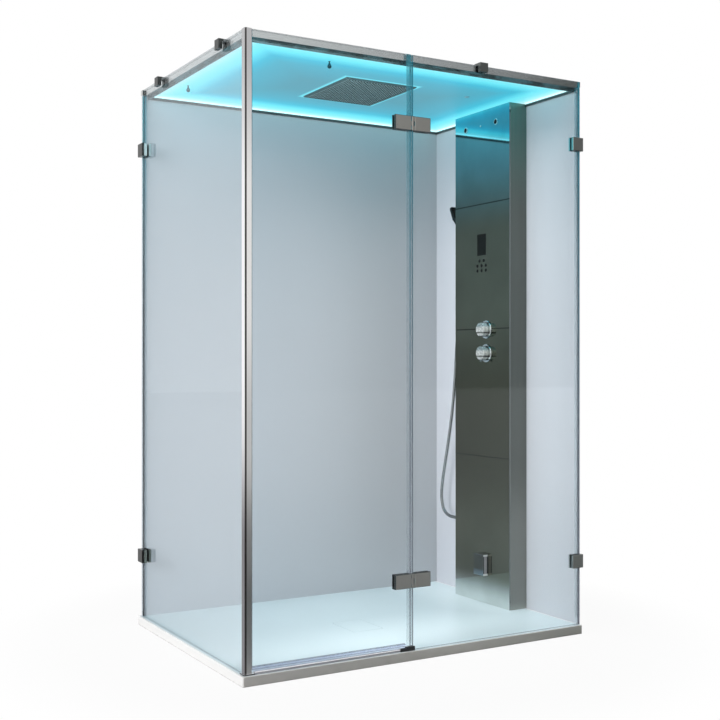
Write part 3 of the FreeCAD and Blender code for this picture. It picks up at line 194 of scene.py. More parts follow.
# %% [markdown]
# ## Metals
# Three kinds of metal carry the glass. The post, knobs and outlet are polished chrome, the hinge plates and
# clamps are satin plates with a warmer grey, and the roof rails are bright anodised aluminium. A metal is
# mostly what it reflects, so each gets its character from roughness: faint smudges on chrome, fine lines
# drawn out along the rail where it was brushed. Many of these finishes also carry painted reflections,
# highlights and shade in their base colour: where one piece has darker and lighter faces, such as the
# post's two sides, a mask on the place of each face picks its painted lit or shaded tone.

# %% Chrome, satin plate, aluminium, brushed steel
def chrome():
    f = Finish("chrome")
    smudge = f.noise(14.0, 4.0)
    tone = f.mix(f.step(smudge, 0.35, 0.7), (0.74, 0.745, 0.75), (0.83, 0.83, 0.825))
    return f.end(f.principled(Base_Color=tone, Metallic=1.0, Roughness=0.07 + 0.09 * smudge))


def satin(f, tone, rim, shine=0.14):
    """Satin metal in a tone, with painted dark shade on its rims; shine is how far its grain lightens it."""
    grain = f.noise(60.0, 5.0, (1.0, 1.0, 9.0))
    # The rims are painted dark shade along the plates' edges.
    tone = f.mix(rim, f.mix(shine * grain, tone, (0.5, 0.5, 0.48)), (0.07, 0.078, 0.078))
    return f.end(f.principled(Base_Color=tone, Metallic=1.0, Roughness=0.24 + 0.12 * grain,
                              Normal=f.bump(grain, 0.15, 0.0004)))


PLATE_HALF = 0.025          # half the height of the hinge plates and the clamps


def plate_rim(f):
    """The top and bottom edges of the plates, at the two heights of the hinges and clamps, where dark shade
    is painted.
    """
    (_, _, z0), (_, _, z1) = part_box("hinge_fixed_leaves")
    rise = abs(f.z - (z0 + PLATE_HALF)).least(abs(f.z - (z1 - PLATE_HALF)))
    return f.step(rise, PLATE_HALF - 0.0020, PLATE_HALF - 0.0010)


KNUCKLE_RADIUS = 0.0045


def hinge_plate():
    f = Finish("hinge_plate")
    (x0, _, _), (x1, _, _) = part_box("hinge_fixed_leaves")
    knuckle = x0 + KNUCKLE_RADIUS
    reach = abs(f.x - knuckle)
    # Painted dark shade at the plate ends, like on the rims.
    ends = f.step(reach, x1 - knuckle - 0.0024, x1 - knuckle - 0.0014) * f.step(reach, 0.10, 0.09)
    # Painted light: the lower hinge is a lighter tone than the upper one.
    tone = f.mix(f.step(f.z, 1.2, 0.6), (0.38, 0.38, 0.355), (0.46, 0.46, 0.44))
    return satin(f, tone, plate_rim(f).most(ends))


CLAMP_SIDE = 0.05           # side of a square clamp


def clamp_plate():
    """Painted light and shade: at the left, dark outside and pale towards the glass; at the right, a middle
    grey with a painted teal reflection of the ceiling on the upper clamps.
    """
    f = Finish("clamp_plate")
    (x0, _, _), (x1, _, _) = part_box("left_glass")
    glass = (x0 + x1) / 2
    below_clips = f.step(f.z, 1.95, 1.90)
    outer = f.step(f.x + 0.015 * below_clips, glass + 0.002, glass - 0.002)
    # The upper clamps get lighter painted tones than the lower ones.
    upper = f.step(f.z, 0.8, 1.3)
    dark = f.mix(upper, (0.012, 0.013, 0.013), (0.040, 0.042, 0.042))
    left = f.mix(outer, f.mix(upper, (0.20, 0.23, 0.21), (0.72, 0.80, 0.80)), dark)
    _, (x1, _, _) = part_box("wall_clamps")
    cheek = f.step(abs(x1 - f.x - CLAMP_SIDE), 0.0012, 0.0006)
    right = f.mix(cheek, (0.33, 0.35, 0.335), f.mix(upper, (0.30, 0.32, 0.31), (0.30, 0.66, 0.66)))
    tone = f.mix(f.step(f.x, -0.5, -0.3), left, right)
    return satin(f, tone, 0.7 * plate_rim(f), 0.06)


def aluminium(name, stretch):
    f = Finish(name)
    lines = f.noise(90.0, 4.0, stretch)
    cloud = f.noise(3.0, 2.0)
    tone = f.mix(cloud, (0.60, 0.615, 0.61), (0.66, 0.67, 0.66))
    (_, _, low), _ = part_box("front_rail")
    lip = f.step(f.z, low + 0.0135, low + 0.0120) * f.step(f.z, low - 0.010, low - 0.005)
    streak = f.step(f.noise(14.0, 4.0, (1.0, 1.0, 3.0)), 0.42, 0.60)
    # Painted shade: the rails darken towards the right end of the cabin.
    tone = f.mix(f.step(f.x, 0.35, 0.70), tone, (0.36, 0.385, 0.37))
    # The lip carries a painted reflection of the ceiling's teal light, in streaks.
    tone = f.mix(lip, tone, f.mix(streak, (0.10, 0.18, 0.19), (0.20, 0.36, 0.39)))
    return f.end(f.principled(Base_Color=tone, Metallic=1.0, Roughness=0.22 + 0.08 * lines,
                              Normal=f.bump(lines, 0.02, 0.0002)))


def sill_metal():
    """The sill under the door: a front painted dark as in shade, and a bright top line."""
    f = Finish("sill_metal")
    (_, y0, _), (_, _, z1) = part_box("threshold_bar")
    # Painted shade on the sill's front face.
    front = f.step(f.y - y0, 0.0012, 0.0006) * f.step(f.z, z1 - 0.002, z1 - 0.003)
    grain = f.noise(80.0, 3.0, (0.05, 1.0, 1.0))
    tone = f.mix(front, f.mix(grain, (0.82, 0.82, 0.84), (0.92, 0.92, 0.94)), (0.42, 0.42, 0.45))
    return f.end(f.principled(Base_Color=tone, Metallic=1.0, Roughness=0.22 + 0.1 * grain))


def brushed_steel(name, low, high, stretch):
    f = Finish(name)
    lines = f.noise(70.0, 5.0, stretch)
    return f.end(f.principled(Base_Color=f.mix(lines, low, high), Metallic=1.0,
                              Roughness=0.28 + 0.15 * lines, Normal=f.bump(lines, 0.1, 0.0003)))


def post_chrome():
    """Chrome for the corner post, with painted reflections and shade by height: dim near the floor and under
    the roof, bright in the middle, its left side and front in their own painted tones, and dark in its
    groove.
    """
    f = Finish("post_chrome")
    (x0, y0, _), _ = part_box("corner_post")
    corner = f.step((f.x - x0 - 0.0035).most(f.y - y0), 0.0035, 0.0030)
    groove = corner * f.step(f.x - x0, 0.0012, 0.0018)
    left = f.step(f.x - x0, 0.0014, 0.0009)
    smudge = f.noise(9.0, 4.0, (1.0, 1.0, 0.2))
    # Painted reflections: the front and the left side each run through their own tones by height.
    front = f.mix(f.step(f.z, 0.27, 0.42), (0.40, 0.40, 0.40), (0.61, 0.61, 0.61))
    front = f.mix(f.step(f.z, 0.80, 1.22), front, (0.95, 0.94, 0.93))
    side = f.mix(f.step(f.z, 0.44, 0.90), (0.20, 0.195, 0.21), (0.92, 0.91, 0.94))
    tone = f.mix(f.step(f.z, 1.53, 2.06), f.mix(left, front, side), (0.49, 0.49, 0.50))
    tone = f.mix(groove, tone, (0.13, 0.125, 0.122))
    return f.end(f.principled(Base_Color=tone, Metallic=1.0, Roughness=0.10 + 0.10 * smudge))


KNOB_RADIUS = 0.0275
UPPER_KNOB_Z, LOWER_KNOB_Z = 1.159, 1.062


def turned_chrome(name, centre):
    """Chrome of a turned knob with painted reflection bands: pale, with a dark line low down, a teal upper
    part and dim rims.
    """
    f = Finish(name)
    fine = f.noise(120.0, 3.0)
    rise = (f.z - (centre - KNOB_RADIUS)) * (0.5 / KNOB_RADIUS)        # 0 at its bottom, 1 at its top
    tone = f.mix(f.step(rise, 0.58, 0.80), (0.93, 0.94, 0.91), (0.35, 0.46, 0.48))
    tone = f.mix(f.step(abs(rise - 0.26), 0.09, 0.02), tone, (0.12, 0.12, 0.11))
    tone = f.mix(f.step(abs(rise - 0.5), 0.42, 0.50), tone, (0.18, 0.24, 0.25))
    (x0, _, _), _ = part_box("thermostat_knob")
    # Painted shade on the knob's end face.
    end = f.step(f.x - x0, 0.0016, 0.0006)
    tone = f.mix(0.55 * end, tone, (0.05, 0.06, 0.06))
    return f.end(f.principled(Base_Color=tone, Metallic=0.30, Roughness=0.22 + 0.1 * fine))


def dark_chrome(name, low, high):
    """Smoked chrome that shifts between two dark tones."""
    f = Finish(name)
    cloud = f.noise(20.0, 3.0)
    return f.end(f.principled(Base_Color=f.mix(cloud, low, high), Metallic=1.0,
                              Roughness=0.12 + 0.12 * cloud))


def outlet_chrome():
    """Painted reflections and highlights: a dark front like the mirror, pale blue low down and lighter at
    the top, and grey sides with bright painted ends, dark upright edges and a dark line along the top.
    """
    f = Finish("outlet_chrome")
    (x0, _, z0), (x1, _, z1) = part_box("steam_outlet")
    front = f.step(f.x - x0, 0.0016, 0.0006)
    ends = f.step((f.z - z0).least(z1 - f.z), 0.0090, 0.0070)
    uprights = f.step((f.x - x0 - 0.002).least(x1 - f.x), 0.0045, 0.0030)
    fine = f.noise(90.0, 3.0)
    # Painted reflection on the front: the tray's light low down, a lighter line near the top.
    face = f.ramp(f.z, z0, z1, [
        (0.0, (0.30, 0.38, 0.42)), (0.20, (0.22, 0.28, 0.31)), (0.32, (0.14, 0.145, 0.13)),
        (0.96, (0.14, 0.145, 0.135)), (0.975, (0.26, 0.28, 0.29))])
    side = f.mix(uprights, f.mix(fine, (0.40, 0.38, 0.40), (0.52, 0.50, 0.53)), (0.06, 0.065, 0.07))
    tone = f.mix(front, f.mix(ends, side, (0.95, 0.96, 0.96)), face)
    tone = f.mix(f.step(z1 - f.z, 0.0012, 0.0006), tone, (0.06, 0.065, 0.06))
    return f.end(f.principled(Base_Color=tone, Metallic=0.1 + 0.9 * front, Roughness=0.10 + 0.1 * fine))


def ring_chrome():
    """The round plates behind the knobs: dark polished faces with painted highlights, a bright band across
    the middle and pale blue rims at top and bottom.
    """
    f = Finish("ring_chrome")
    (_, y0, z0), (_, y1, z1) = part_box("valve_escutcheons")
    radius = (y1 - y0) / 2
    rise = abs(f.z - (z0 + radius)).least(abs(f.z - (z1 - radius)))
    wear = f.noise(60.0, 3.0)
    # Painted highlights: pale blue rims and a bright middle band.
    rim = f.step(rise, radius - 0.010, radius - 0.005)
    band = f.step(rise, radius - 0.0125, radius - 0.0145)
    tone = f.mix(band, f.mix(wear, (0.09, 0.105, 0.10), (0.13, 0.145, 0.14)), (0.90, 0.91, 0.90))
    tone = f.mix(rim, tone, (0.66, 0.76, 0.80))
    return f.end(f.principled(Base_Color=tone, Metallic=1.0, Roughness=0.03 + 0.05 * wear))


def foot_chrome():
    """Bright chrome on top, with painted dark shade round its thin side."""
    f = Finish("foot_chrome")
    _, (_, _, z1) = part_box("post_foot")
    # Painted shade on the foot's side.
    side = f.step(f.z, z1 - 0.0003, z1 - 0.0008)
    smudge = f.noise(60.0, 3.0)
    tone = f.mix(side, f.mix(smudge, (0.80, 0.80, 0.80), (0.92, 0.92, 0.92)), (0.05, 0.05, 0.055))
    return f.end(f.principled(Base_Color=tone, Metallic=1.0, Roughness=0.08 + 0.1 * smudge))


paint(chrome(), "hose_outlet")
paint(foot_chrome(), "post_foot")
paint(ring_chrome(), "valve_escutcheons")
paint(post_chrome(), "corner_post")
paint(turned_chrome("upper_knob_chrome", UPPER_KNOB_Z), "thermostat_knob")
paint(turned_chrome("lower_knob_chrome", LOWER_KNOB_Z), "diverter_knob")
paint(outlet_chrome(), "steam_outlet")
paint(dark_chrome("dark_chrome", (0.010, 0.020, 0.023), (0.026, 0.042, 0.047)),
      "hand_shower", "handset_holder")
# The jets' chrome carries a painted teal reflection of the lit ceiling.
paint(dark_chrome("jet_chrome", (0.006, 0.080, 0.100), (0.015, 0.150, 0.180)), "ceiling_jets")
paint(hinge_plate(), "hinge_fixed_leaves", "hinge_door_leaves")
paint(clamp_plate(), "wall_clamps", "top_clips")
paint(aluminium("rail_along_front", (0.03, 1.0, 1.0)), "front_rail", "back_rail")
paint(sill_metal(), "threshold_bar")
paint(aluminium("rail_along_side", (1.0, 0.03, 1.0)), "left_rail", "right_rail")
paint(brushed_steel("pipe_steel", (0.5, 0.5, 0.49), (0.66, 0.66, 0.64), (1.0, 1.0, 1.0)),
      "rain_supply_pipe", "steam_pipe", "steam_generator", "hinge_pins")
print("metals painted")


# %% [markdown]
# ## The tray
# A cast tray is a thin shell of satin white over stone filler. Up close the surface has a very fine grain,
# and where the falls meet, the light changes only a little. The inner floor carries a painted cool tint of
# the blue light above it, brightened by painted light towards the front and the right. The outside stays
# neutral, but its front face is painted darker as in shade, with a thin painted contact shadow along the
# bottom edge.

# %% Tray and drain cover
def tray_white():
    f = Finish("tray_white")
    inside = (f.step(abs(f.x), HALF_LENGTH, HALF_LENGTH - 0.016) *
              f.step(abs(f.y), HALF_DEPTH, HALF_DEPTH - 0.018) * f.step(f.z, 0.018, 0.021))
    (x0, y0, _), (x1, y1, _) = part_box("drain_cover")
    away = (abs(f.x - (x0 + x1) / 2) - (x1 - x0) / 2).most(abs(f.y - (y0 + y1) / 2) - (y1 - y0) / 2)
    joint = f.step(abs(away - 0.0008), 0.0022, 0.0010)
    cloud = f.noise(2.2, 3.0)
    grain = f.noise(420.0, 3.0)
    outer = f.mix(cloud, (0.86, 0.86, 0.86), (0.90, 0.90, 0.90))
    (_, front, _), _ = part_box("shower_tray")
    # Painted shade on the front face, darker towards the right.
    shade = f.ramp(f.x, -HALF_LENGTH, HALF_LENGTH, [
        (0.0, (0.74, 0.72, 0.69)), (0.55, (0.74, 0.72, 0.675)), (1.0, (0.60, 0.60, 0.55))])
    outer = f.mix(f.step(f.y - front, 0.0012, 0.0005), outer, shade)
    # A thin painted contact shadow along the bottom edge.
    outer = f.mix(0.7 * f.step(f.z, 0.0017, 0.0008), outer, (0.30, 0.30, 0.31))
    # The inner floor: a painted cool tint of the blue light, with painted light towards the front and the
    # right.
    inner = f.mix(cloud, (0.475, 0.58, 0.62), (0.545, 0.65, 0.69))
    near = f.step(f.y, 0.08, -0.32) * (0.45 + 0.55 * f.step(f.x, -0.35, 0.15))
    inner = f.mix((0.75 * f.step(f.x, 0.36, 0.64)).most(0.8 * near), inner, (0.76, 0.87, 0.90))
    inner = f.mix(0.5 * joint, inner, (0.45, 0.55, 0.58))
    return f.end(f.principled(Base_Color=f.mix(inside, outer, inner), Roughness=0.34 + 0.12 * grain,
                              Coat_Weight=0.25, Coat_Roughness=0.2, Normal=f.bump(grain, 0.12, 0.0004)))


paint(tray_white(), "shower_tray", "drain_cover")


# %% [markdown]
# ## Wall panels
# The two wall panels are smooth sheets with a pale blue-grey back coat. The back wall looks light at the
# open side and a deeper grey in the corner. That fall is light; the finish paints a mild part of it as
# shade along X, and the lamps do the rest.

# %% Wall panels and trims
def wall_panel(name, stops, start, end, axis):
    """A glossy sheet whose tone runs through the stops along one axis; on the back wall the stops are
    painted shade.
    """
    f = Finish(name)
    tone = f.ramp(getattr(f, axis), start, end, stops)
    cloud = f.noise(1.6, 3.0)
    tone = f.mix(0.06 * cloud, tone, (0.80, 0.82, 0.84))
    wave = f.noise(5.0, 2.0)
    return f.end(f.principled(Base_Color=tone, Roughness=0.30 + 0.1 * cloud, Coat_Weight=0.15,
                              Coat_Roughness=0.08, Normal=f.bump(wave, 0.03, 0.002)))


# The back wall's stops are painted shade, deeper from the open side towards the corner.
BACK_STOPS = [(0.0, (0.50, 0.55, 0.61)), (0.45, (0.455, 0.485, 0.525)), (1.0, (0.46, 0.475, 0.50))]
RIGHT_STOPS = [(0.0, (0.555, 0.575, 0.615)), (1.0, (0.57, 0.575, 0.62))]
paint(wall_panel("back_wall", BACK_STOPS, -0.69, 0.70, "x"), "back_wall_panel")
paint(wall_panel("right_wall", RIGHT_STOPS, -0.48, 0.48, "y"), "right_wall_panel")


def dark_trim():
    f = Finish("dark_trim")
    grain = f.noise(160.0, 3.0)
    tone = f.mix(grain, (0.035, 0.05, 0.055), (0.06, 0.08, 0.085))
    return f.end(f.principled(Base_Color=tone, Metallic=0.6, Roughness=0.3 + 0.1 * grain))


paint(dark_trim(), "wall_trim")


def moulded(name, low, high, roughness, gloss=0.5):
    """Moulded plastic, rubber or coated sheet: a fine grain and a faint cloud."""
    f = Finish(name)
    grain = f.noise(300.0, 3.0)
    tone = f.mix(f.noise(6.0, 3.0), low, high)
    return f.end(f.principled(Base_Color=tone, Roughness=roughness + 0.12 * grain,
                              Specular_IOR_Level=gloss, Normal=f.bump(grain, 0.15, 0.0003)))


paint(moulded("roof_sheet", (0.60, 0.61, 0.62), (0.70, 0.71, 0.72), 0.4), "roof_cover")
paint(moulded("grey_plastic", (0.09, 0.095, 0.10), (0.14, 0.145, 0.15), 0.45),
      "control_unit", "rain_head_housing", "waste_body", "cable_gland")
# The white cap's colour carries a painted cyan tint of the ceiling's light.
paint(moulded("cap_white", (0.30, 0.52, 0.60), (0.34, 0.58, 0.66), 0.4), "ceiling_cap")
paint(moulded("brass", (0.50, 0.33, 0.12), (0.62, 0.43, 0.18), 0.25), "valve_block", "inlet_unions")


# %% [markdown]
# ## The lit ceiling
# Light strips hide round the edge of the ceiling and wash over it: almost white at the edge, bright cyan a
# hand's width in, and a calm blue in the middle. That fall-off is the look of the whole cabin, so it is
# written as a colour ramp on the distance to the nearest edge, and the ceiling glows by itself rather than
# waiting for thousands of light paths to find it.

# %% Ceiling and light strips
def glowing(name, colour, strength):
    f = Finish(name)
    ripple = f.noise(24.0, 2.0)
    tone = f.mix(0.12 * ripple, colour, (1.0, 1.0, 1.0))
    return f.end(f.principled(Base_Color=(0.2, 0.25, 0.27), Roughness=0.5, Emission_Color=tone,
                              Emission_Strength=strength))


CEILING_EDGES = (-0.6515, 0.700, -0.4495, 0.480)        # left, right, front and back


def ceiling_glow():
    """White sheet that carries the strips' light, with a halo round the rain head."""
    f = Finish("ceiling_white")
    left, right, front, back = CEILING_EDGES
    across = (f.x - left).least(right - f.x)
    along = (f.y - front).least(back - f.y)
    near = across.least(along) + 0.018 * f.noise(7.0, 2.0)
    wash = f.ramp(near, 0.0, 0.40, [
        (0.0, (0.86, 0.98, 1.0)), (0.07, (0.46, 0.95, 1.0)), (0.15, (0.24, 0.88, 0.97)),
        (0.26, (0.14, 0.82, 0.95)), (0.40, (0.045, 0.52, 0.70)), (0.55, (0.070, 0.43, 0.57)),
        (1.0, (0.085, 0.335, 0.43))])
    (x0, y0, _), (x1, y1, _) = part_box("rain_head_plate")
    outside = (x0 - f.x).most(f.x - x1).most((y0 - f.y).most(f.y - y1))
    halo = f.step(outside, 0.022, 0.004)
    wash = f.mix(0.85 * halo, wash, (0.20, 0.86, 0.98))
    return f.end(f.principled(Base_Color=(0.02, 0.03, 0.035), Roughness=0.45, Emission_Color=wash,
                              Emission_Strength=1.0))


paint(ceiling_glow(), "ceiling_panel")
paint(glowing("light_strip", (0.55, 0.96, 1.0), 1.3), "light_strips")
print("ceiling glows")


# %% [markdown]
# ## Glass
# Real toughened glass is two faces you hardly see and four edges you see very well. Bending light through a
# solid pane costs a lot and shows little on a flat sheet, so the faces are mostly a Transparent shader with
# a thin gloss that grows towards grazing angles, and only the edge faces get colour. The object-space normal
# tells the two apart. The edges' colour is a painted reflection: the ceiling's blue at the top, violet-grey
# lower down. The seals are clear plastic, so they are a thin share of colour over the same Transparent
# shader, with the ceiling's teal light painted into them near the top.

# %% Glass panes and clear seals
def clear_glass(name, thin_axis):
    """A pane that is thin along one axis, 0 for X and 1 for Y."""
    f = Finish(name)
    normal = f.node("TexCoord", out="Normal")
    parts = f.node("SeparateXYZ", inputs={0: normal}, out=None)
    face = abs(Value(f, parts.outputs[thin_axis]))
    flat = f.step(abs(Value(f, parts.outputs[2])), 0.4, 0.8)
    edge = f.step(face, 0.8, 0.4)
    # Painted reflection on the edges: the lit ceiling's blue at the top, violet-grey lower down.
    tint = f.ramp(f.z, 0.0, RAMP_TOP, [
        (0.0, (0.21, 0.205, 0.25)), (0.35, (0.17, 0.18, 0.22)),
        (0.75, (0.07, 0.20, 0.26)), (1.0, (0.04, 0.38, 0.50))])
    tint = f.mix(flat, tint, (0.66, 0.72, 0.76))
    gloss = f.node("Fresnel", inputs={"IOR": 1.45})
    body = f.principled(Base_Color=f.mix(edge, (0.96, 0.98, 1.0), tint), Metallic=1.0 - edge,
                        Roughness=0.03 + 0.12 * edge)
    clear = f.node("BsdfTransparent", inputs={"Color": (0.985, 0.995, 1.0)})
    share = (0.004 + 0.22 * gloss + edge * (0.85 - 0.6 * flat)).least(0.92)
    return f.end(f.node("MixShader", inputs={0: share, 1: clear, 2: body}))


def clear_seal(name, density):
    """A clear strip with painted light: teal and denser near the lit ceiling, thinner just above the tray.
    """
    f = Finish(name)
    ribs = f.noise(30.0, 2.0, (1.0, 1.0, 0.02))
    # Painted light: the ceiling's teal near the top.
    tint = f.ramp(f.z, 0.0, RAMP_TOP, [
        (0.0, (0.70, 0.75, 0.82)), (0.6, (0.50, 0.62, 0.70)),
        (0.85, (0.20, 0.62, 0.75)), (1.0, (0.10, 0.70, 0.86))])
    body = f.principled(Base_Color=tint, Roughness=0.15 + 0.15 * ribs)
    clear = f.node("BsdfTransparent", inputs={"Color": (0.96, 0.975, 0.98)})
    foot = 0.25 + 0.75 * f.step(f.z, 0.050, 0.070)
    share = density * (0.7 + 0.5 * ribs + 1.6 * f.step(f.z, 1.2, 2.0)) * foot
    return f.end(f.node("MixShader", inputs={0: share, 1: clear, 2: body}))


def drip_seal():
    """Clear violet plastic, with dark lines where it grips the door glass and at its lip."""
    f = Finish("drip_seal")
    (_, _, z0), (_, _, z1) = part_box("door_bottom_seal")
    ribs = f.noise(40.0, 2.0, (0.03, 1.0, 1.0))
    tone = f.ramp(f.z, z0, z1, [
        (0.0, (0.20, 0.20, 0.22)), (0.12, (0.80, 0.80, 0.84)), (0.40, (0.74, 0.75, 0.84)),
        (0.86, (0.66, 0.67, 0.78)), (0.93, (0.16, 0.16, 0.20)), (1.0, (0.14, 0.14, 0.18))])
    body = f.principled(Base_Color=tone, Roughness=0.2 + 0.15 * ribs)
    clear = f.node("BsdfTransparent", inputs={"Color": (0.93, 0.93, 0.98)})
    line = f.step(f.z, z0 + 0.88 * (z1 - z0), z0 + 0.92 * (z1 - z0))
    return f.end(f.node("MixShader", inputs={0: 0.04 + 0.05 * ribs + 0.40 * line, 1: clear, 2: body}))


paint(clear_glass("clear_glass_side", 0), "left_glass")
paint(clear_glass("clear_glass_front", 1), "front_glass", "door_glass")
paint(clear_seal("clear_seal", 0.08), "left_glass_seals", "front_glass_seals")
paint(clear_seal("door_seal", 0.16), "door_edge_seals")
paint(drip_seal(), "door_bottom_seal")
print("glass and seals painted")


# %% [markdown]
# ## The service column
# The column's face is a smoked mirror. It swallows most of what it reflects, but near its top it still shows
# the lit ceiling, and near the floor the white tray, and these are painted into its base colour, which
# changes with height: painted light at both ends, dark grey-green smoke between, a painted teal cast
# below the ceiling and a painted highlight along the front edge. Three fine joints cross
# it, and a dark line on each makes up for what so narrow a groove loses in a small picture.

# %% Mirror, column sides, display and keys
SEAM_HEIGHTS = (0.636, 1.162, 1.679)        # joints between the sheets of the mirror
DISPLAY_Y, DISPLAY_Z = 0.022, 1.511         # centre of the display


def dark_mirror():
    """Dark grey-green smoked tint with painted reflections: lighter low down, pale at the foot and teal
    under the ceiling.
    """
    f = Finish("dark_mirror")
    (_, front, _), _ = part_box("column_face")
    # Painted reflections by height over the smoked tint: lighter low down, pale at the foot, teal under the
    # ceiling.
    smoke_and_painted_reflection = f.mix(f.step(f.z, 0.88, 1.30), (0.095, 0.10, 0.072), (0.145, 0.17, 0.135))
    smoke_and_painted_reflection = f.mix(f.step(f.z, 0.60, 0.30), smoke_and_painted_reflection, (0.20, 0.205, 0.16))
    smoke_and_painted_reflection = f.mix(f.step(f.z, 0.160, 0.055), smoke_and_painted_reflection, (0.80, 0.83, 0.80))
    smoke_and_painted_reflection = f.mix(f.step(f.z, 1.55, 1.98), smoke_and_painted_reflection, (0.20, 0.58, 0.67))
    cloud = f.noise(5.0, 6.0)
    tone = f.mix(0.35 * f.step(cloud, 0.35, 0.75), smoke_and_painted_reflection, f.mix(0.5, smoke_and_painted_reflection, (0.02, 0.022, 0.02)))
    low, middle, high = (abs(f.z - height) for height in SEAM_HEIGHTS)
    seam = low.least(middle).least(high)
    tone = f.mix(0.8 * f.step(seam, 0.0034, 0.0012), tone, (0.012, 0.014, 0.014))
    # A painted highlight along the mirror's front edge.
    edge = f.step(f.y, front + 0.0012, front + 0.0004)
    tone = f.mix(edge, tone, (0.22, 0.23, 0.225))
    return f.end(f.principled(Base_Color=tone, Metallic=1.0, Roughness=0.02 + 0.03 * cloud))


def column_steel():
    """Dull steel sides with painted light: the tray's light low down and the ceiling's near the top."""
    f = Finish("column_steel")
    lines = f.noise(80.0, 4.0, (1.0, 1.0, 0.02))
    tone = f.mix(f.step(f.z, 0.62, 0.32), (0.125, 0.135, 0.12), (0.28, 0.285, 0.26))
    tone = f.mix(f.step(f.z, 0.07, 0.0), tone, (0.52, 0.53, 0.49))
    tone = f.mix(f.step(f.z, 1.60, 2.05), tone, (0.10, 0.21, 0.18))
    tone = f.mix(0.25 * lines, tone, (0.3, 0.32, 0.31))
    return f.end(f.principled(Base_Color=tone, Metallic=0.85, Roughness=0.32 + 0.12 * lines))


def display_black():
    """Black window, a shade deeper where the screen lies behind it."""
    f = Finish("display_black")
    depth = f.noise(40.0, 2.0)
    screen = f.step(abs(f.z - DISPLAY_Z), 0.038, 0.034) * f.step(abs(f.y - DISPLAY_Y), 0.026, 0.022)
    deep = f.mix(depth, (0.004, 0.006, 0.006), (0.007, 0.010, 0.010))
    tone = f.mix(screen, (0.008, 0.010, 0.010), deep)
    return f.end(f.principled(Base_Color=tone, Roughness=0.35 + 0.1 * depth, Specular_IOR_Level=0.02))


paint(dark_mirror(), "column_face")
paint(column_steel(), "column_housing")
paint(display_black(), "display_window")
paint(moulded("key_black", (0.004, 0.005, 0.005), (0.008, 0.010, 0.010), 0.4, 0.02),
      *["key_%d" % i for i in range(1, 9)])
print("column painted")


# %% [markdown]
# ## Rain head
# A dark steel plate hangs just under the ceiling, studded with small soft nozzles. The CAD model has a
# coarse grid of them. The real plate has many more, so a small cone is made again and again over the plate,
# all in one mesh.

# %% Rain head plate and its nozzles
def rain_steel():
    """Grey-blue under the nozzles, darker along the bevelled border."""
    f = Finish("rain_steel")
    lines = f.noise(60.0, 4.0, (0.05, 1.0, 1.0))
    (x0, y0, _), (x1, y1, _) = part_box("rain_head_plate")
    inset = (f.x - x0).least(x1 - f.x).least((f.y - y0).least(y1 - f.y))
    tone = f.mix(lines, (0.22, 0.37, 0.39), (0.30, 0.46, 0.48))
    tone = f.mix(f.step(inset, 0.016, 0.013), tone, (0.07, 0.14, 0.155))
    return f.end(f.principled(Base_Color=tone, Metallic=0.1, Roughness=0.4 + 0.1 * lines,
                              Specular_IOR_Level=0.1))


paint(rain_steel(), "rain_head_plate")
NOZZLE_RUBBER = moulded("nozzle_rubber", (0.010, 0.030, 0.034), (0.020, 0.050, 0.056), 0.5, 0.1)


def new_piece(name, bm, material, body="cabin", smooth=False):
    """Turn a bmesh into a piece that rides on a body."""
    bmesh.ops.recalc_face_normals(bm, faces=bm.faces)
    mesh = bpy.data.meshes.new(name)
    bm.to_mesh(mesh)
    bm.free()
    for polygon in mesh.polygons:
        polygon.use_smooth = smooth
    piece = bpy.data.objects.new(name, mesh)
    bpy.context.scene.collection.objects.link(piece)
    piece.data.materials.append(material)
    if body:
        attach(piece, body)
    print("made", name, len(mesh.polygons), "faces")
    return piece


def nozzle_field():
    """Cones in rows under the plate, on one centre with it."""
    (x0, y0, z0), (x1, y1, _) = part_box("rain_head_plate")
    border, pitch, height = 0.018, 0.0125, 0.0025
    columns = int((x1 - x0 - 2 * border) / pitch)
    rows = int((y1 - y0 - 2 * border) / pitch)
    bm = bmesh.new()
    for i in range(columns + 1):
        for j in range(rows + 1):
            place = Matrix.Translation(((x0 + x1) / 2 + (i - columns / 2) * pitch,
                                        (y0 + y1) / 2 + (j - rows / 2) * pitch, z0 - height / 2))
            bmesh.ops.create_cone(bm, cap_ends=True, segments=8, radius1=0.0019, radius2=0.0036,
                                  depth=height, matrix=place)
    field = new_piece("rain_nozzle_field", bm, NOZZLE_RUBBER)
    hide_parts("rain_nozzles")


nozzle_field()


# %% [markdown]
# ## The sill's end block
# Where the door glass meets the fixed glass, the sill ends in a small dark block with a step in it. It is
# two bevelled cubes joined in one mesh: a low one under the door, and a taller one that closes the gap.

# %% End block
STEPS = ((-0.105, -0.079, 0.0410), (-0.0795, -0.047, 0.0462))       # left, right and top of each cube


def end_block():
    low, front, back = 0.0322, -0.4905, -0.4745
    bm = bmesh.new()
    for left, right, high in STEPS:
        made = bmesh.ops.create_cube(bm, size=1.0)["verts"]
        bmesh.ops.scale(bm, vec=(right - left, back - front, high - low), verts=made)
        bmesh.ops.translate(bm, vec=((left + right) / 2, (front + back) / 2, (low + high) / 2), verts=made)
    bmesh.ops.bevel(bm, geom=list(bm.edges), offset=0.0009, segments=2, profile=0.5, material=-1,
                    affect="EDGES")
    black = moulded("end_block_black", (0.012, 0.014, 0.015), (0.03, 0.033, 0.035), 0.25)
    new_piece("sill_end_block", bm, black)


end_block()


# %% [markdown]
# ## Column lamps
# Two small lamps and a probe sit near the top of the mirror. Each lamp is a dark lens in a pale ring, so
# the finish picks ring or lens by the distance from the lamp's own axis.

